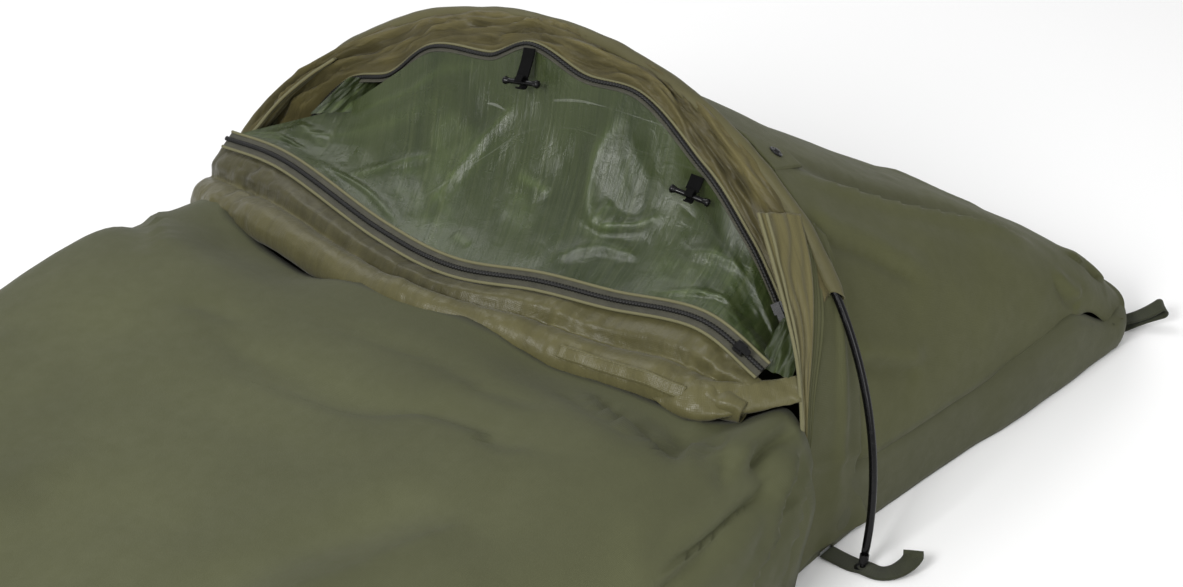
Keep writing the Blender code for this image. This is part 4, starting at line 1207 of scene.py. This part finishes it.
def snap(word):
    """A reinforcing patch on the hood, with a press stud where the part has it."""
    low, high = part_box(f"{word}_snap_cap")
    centre = (np.array(low) + np.array(high)) / 2 - np.array((HOOP_X, 0, 0))
    gap = np.linalg.norm(hood - centre, axis=-1)
    i, j = np.unravel_index(np.argmin(gap), gap.shape)
    normal = unit(np.cross(hood[i + 3, j] - hood[i - 3, j], hood[i, j + 3] - hood[i, j - 3]))
    normal = normal * (1 if normal[2] > 0 else -1)
    rows, cols = 26, 40
    u = np.linspace(0.0, 1, rows)
    half = mix(0.036, 0.013, u ** 0.8)
    s = np.linspace(-1, 1, cols)
    grid = hood_point(np.maximum(HOOD_U[i] + mix(-0.075, 0.05, u)[:, None], 0.004) + 0 * s[None],
                      HOOD_V[j] + half[:, None] * s[None])
    edge = np.minimum(1 - np.abs(s[None]), np.minimum(u, 1 - u)[:, None] * 1.5)
    lift = 0.003 * smooth(edge / 0.1) + 0.0006 + 0.0007 * noise(grid, 0.02, 6)
    shift = (hood[i, j] - hood_point(HOOD_U[i], HOOD_V[j])) @ normal
    grid = grid + normal * (lift + shift)[..., None]
    patch = grid_object(f"{word}_patch_cloth", grid, HOOD, 0.001)
    dressed(patch, "hoop", "shell_fabric", f"{word}_snap_patch")
    profile = [(0.0004, -0.0004), (0.0078, -0.0004), (0.0082, 0.0006), (0.0078, 0.0014), (0.0066, 0.0016),
               (0.006, 0.001), (0.0048, 0.0009), (0.0042, 0.0014), (0.004, 0.003), (0.003, 0.0036),
               (0.0014, 0.0034), (0.0004, 0.0033)]
    seat = hood[i, j] + (centre - hood[i, j]) - normal * ((centre - hood[i, j]) @ normal)
    cap = blob(f"{word}_snap_ring", seat + normal * 0.0044, normal, profile, 40, SNAP)
    dressed(cap, "hoop", "black_hardware", f"{word}_snap_cap")
    return patch


patches = {word: snap(word) for word in SIDES}


# ---------------------------------------------------------------- toggles

def toggle(name, share, hang, length):
    turn = float(arch_turn(share))
    here = arch_point(turn)
    along = unit(arch_point(turn + 0.02) - arch_point(turn - 0.02))
    across = across_arch(turn)
    across = unit(across - along * (across @ along))
    out = np.cross(along, across)
    top = here + across * (TAPE_WIDTH / 2 + 0.003) + out * 0.004
    slope = chest_point(share) + CHEST_ACROSS * TAPE_WIDTH - top
    slope = unit(slope - along * (slope @ along))
    wide = along * cos(hang) - slope * sin(hang)
    down = slope * cos(hang) + along * sin(hang)
    face = np.cross(down, wide)
    t = np.linspace(-0.1, 1, 30)
    path = top + down * (length * t)[:, None] + face * (0.0008 * np.sin(4 * t))[:, None]
    tab = tube(f"{name}_webbing", path, wide, band(0.015, 0.0018, 9, 0.0003), WEB_BLACK)
    dressed(tab, name, "black_webbing", f"{name}_tab")
    centre = top + down * (length + 0.0058)
    a = np.linspace(-1, 1, 61)
    sizes = 0.7 + 0.4 * np.exp(-(((np.abs(a) - 0.86) / 0.13) ** 2))
    sizes *= np.sqrt(np.clip(1 - (np.clip(np.abs(a) - 0.93, 0, 1) / 0.072) ** 2, 0.04, 1))
    run = centre + wide * (0.024 * a)[:, None]
    bar = tube(f"{name}_crossbar", run, down, ring(0.0042, 0.0042, 24), PLASTIC, sizes)
    dressed(bar, f"{name}_cross", "black_plastic", f"{name}_bar")
    loop_turn = np.linspace(-0.3, 2 * pi - 1.3, 26)
    low, ahead = EYE_RADIUS * np.cos(loop_turn), EYE_RADIUS * np.sin(loop_turn)
    loop = centre + down * low[:, None] + face * ahead[:, None]
    eye = tube(f"{name}_eye", loop, wide, band(0.009, 0.0014, 7), WEB_BLACK)
    dressed(eye, name, "black_webbing")


toggle("upper_toggle", 0.52, radians(-10), 0.03)
toggle("side_toggle", 0.23, radians(-28), 0.015)


# ---------------------------------------------------------------- webbing on the floor

def hoop_strap(word, side):
    path = curve([(0.0, side * 0.429, 0.004), (0.0, side * 0.455, 0.0018), (0.001, side * 0.474, 0.0016),
                  (0.003, side * 0.493, 0.0018), (0.011, side * 0.506, 0.004), (0.022, side * 0.514, 0.0095),
                  (0.032, side * 0.517, 0.016), (0.038, side * 0.514, 0.0205)], 90)
    along = tangents(path)
    flat = np.cross((0, 0, 1.0), along)
    wave = 0.0016 * noise(path, 0.02, 3)
    path = path + np.array((0, 0, 1.0)) * np.maximum(wave, 0)[:, None]
    sizes = np.ones((91, 2))
    sizes[:, 0] = 1 - 0.1 * smooth((np.arange(91) - 60) / 30)
    piece = tube(f"{word}_foot_strap", path, flat, band(0.024, 0.0016, 11, 0.0004), WEB_OLIVE, sizes)
    dressed(piece, "root", "olive_webbing", f"{word}_hoop_strap")


for word, side in SIDES.items():
    hoop_strap(word, side)


def peg_loop(word, corner, heading, body):
    """Webbing doubled back on itself, with a soft curl and a twist."""
    level = np.array((cos(heading), sin(heading), 0.0))
    across = np.array((-sin(heading), cos(heading), 0.0))
    tilt = radians(14)
    out = level * cos(tilt) + np.array((0, 0, sin(tilt)))
    above = np.cross(out, across)
    above = above if above[2] > 0 else -above
    pivot = np.array(corner) + level * 0.008
    pivot[2] = 0.0064
    radius = 0.0052
    inner = np.linspace(pi / 2, 3 * pi / 2, 14)
    outer = np.linspace(-pi / 2, pi / 2, 14)
    far = 0.05
    low = np.linspace(0, far, 22)[1:-1]
    pts = [(radius * cos(k), radius * sin(k)) for k in inner]
    pts += [(a, -radius * (1 - 0.55 * sin(pi * a / far))) for a in low]
    pts += [(far + radius * cos(k), radius * sin(k)) for k in outer]
    pts += [(a, radius * (1 - 0.35 * sin(pi * a / far))) for a in low[::-1]]
    pts = np.array(pts + [pts[0]])
    path = pivot + out * pts[:, :1] + above * pts[:, 1:]
    share = np.clip(pts[:, 0] / far, 0, 1)
    path = path + above * (0.006 * share ** 2)[:, None]
    sides = across + above * (0.3 * share)[:, None]
    piece = tube(f"{word}_peg_webbing", path, sides, band(0.02, 0.0014, 9, 0.0002), WEB_OLIVE)
    dressed(piece, body, "olive_webbing", body)


for word, side in SIDES.items():
    head = (HEAD_X - PEG_INSET, side * (HEAD_HALF_WIDTH - PEG_INSET), 0.0)
    foot = (FOOT_X + PEG_INSET, side * (FOOT_HALF_WIDTH - PEG_INSET), 0.0)
    peg_loop(f"{word}_head", head, side * radians(45), f"{word}_head_loop")
    peg_loop(f"{word}_foot", foot, side * radians(135), f"{word}_foot_loop")


# ---------------------------------------------------------------- looks of the CAD nodes that stay

KEPT = {
    "ferrule": FERRULE, "shock_cord": CORD, "pole_tip": PLASTIC, "grommet": SNAP, "snap_stud": SNAP,
    "zip_slider": PLASTIC, "zip_pull": PLASTIC,
}
for name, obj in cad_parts.items():
    for part_of_name, look in KEPT.items():
        if part_of_name in name:
            obj.data.materials.clear()
            obj.data.materials.append(look)


# ---------------------------------------------------------------- what the sheets are cut to

def cut(piece, width, held, rests_on=()):
    """Its cut is width wide, and as long as its own cloth needs; the function does nothing, and width, held
    and rests_on are not used.
    """


cut(body_piece, 1.1, "draped", rests_on=["foot_tub_cloth"])
cut(hood_piece, 1.3, "stretched", rests_on=["sleeve_cloth_tube", "head_tub_cloth"])
cut(head_wall_piece, 0.092, "stretched")
cut(foot_wall_piece, 0.092, "stretched")
cut(floor_piece, 0.92, "laid")
cut(flap_piece, 0.045, "stretched", rests_on=["sleeve_cloth_tube"])
cut(sleeve_piece, 0.068, "stretched", rests_on=["pole_tube_2", "pole_tube_3"])
cut(net_piece, 0.9, "hung", rests_on=["arch_tape_cloth", "chest_tape_net_side"])
for scrap in scraps:
    cut(scrap, 0.046, "gathered", rests_on=["net_cloth"])
cut(roll_piece, 0.24, "folded", rests_on=["body_cloth"])
for word in SIDES:
    strip_piece, band_piece, gusset_piece = sides[word]
    cut(strip_piece, 0.03, "gathered")
    cut(band_piece, 0.02, "stretched")
    cut(gusset_piece, 0.06, "stretched")
    cut(patches[word], 0.06, "stretched")


# ---------------------------------------------------------------- floor, light and camera

def stage_material(name, color, rough):
    n = Nodes(name)
    soft = n.ramp(n.noise(n.position(), 2.0, 2.0), 0.3, 0.7)
    return n.finish(n.blend(soft, shade(color, 0.995), color), n.ramp(soft, 0, 1, rough, rough + 0.03))


def placed(obj, right, back, place):
    """Sets a lamp or the camera down at its place, looking against the way that back points."""
    axes = np.stack([right, np.cross(back, right), back], 1)
    obj.matrix_world = Matrix([(*r, p) for r, p in zip(axes, place)] + [(0, 0, 0, 1)])


def studio():
    mesh = bpy.data.meshes.new("studio_floor")
    size = 14.0
    mesh.from_pydata([(-size, -size, -0.0002), (size, -size, -0.0002), (size, size, -0.0002),
                      (-size, size, -0.0002)], [], [(0, 1, 2, 3)])
    mesh.materials.append(stage_material("studio_floor_look", (0.93, 0.93, 0.93), 0.9))
    floor = linked("studio_floor", mesh)
    world = bpy.data.worlds.new("studio")
    bpy.context.scene.world = world
    world.use_nodes = True
    background = world.node_tree.nodes["Background"].inputs
    background[0].default_value = (1.0, 1.0, 1.0, 1.0)
    background[1].default_value = 0.66
    for name, place, aim, size_xy, watts in (
        ("key", (-2.7, -0.6, 2.3), (0.2, 0.0, 0.2), (1.2, 1.2), 105.0),
        ("fill", (-1.2, -2.9, 1.6), (0.3, 0.0, 0.1), (1.6, 1.6), 34.0),
        ("top", (0.9, 1.6, 2.6), (0.3, 0.0, 0.3), (1.4, 1.4), 22.0),
    ):
        data = bpy.data.lights.new(name, "AREA")
        data.shape = "RECTANGLE"
        data.size, data.size_y = size_xy
        data.energy = watts
        back = unit(np.array(place) - np.array(aim))
        right = unit(np.cross((0, 0, 1.0), back))
        placed(linked(name, data), right, back, place)


def camera():
    data = bpy.data.cameras.new("camera")
    data.sensor_width = 36.0
    data.lens = 82.16
    data.clip_end = 60.0
    cam = linked("camera", data)
    turn, rise = radians(38.0), radians(30.0)
    right = np.array((sin(turn), -cos(turn), 0.0))
    back = np.array((-cos(turn) * cos(rise), -sin(turn) * cos(rise), sin(rise)))
    placed(cam, right, back, (-1.51747, -1.6911, 1.69371))
    bpy.context.scene.camera = cam


studio()
camera()
bpy.context.scene.view_settings.view_transform = "Standard"
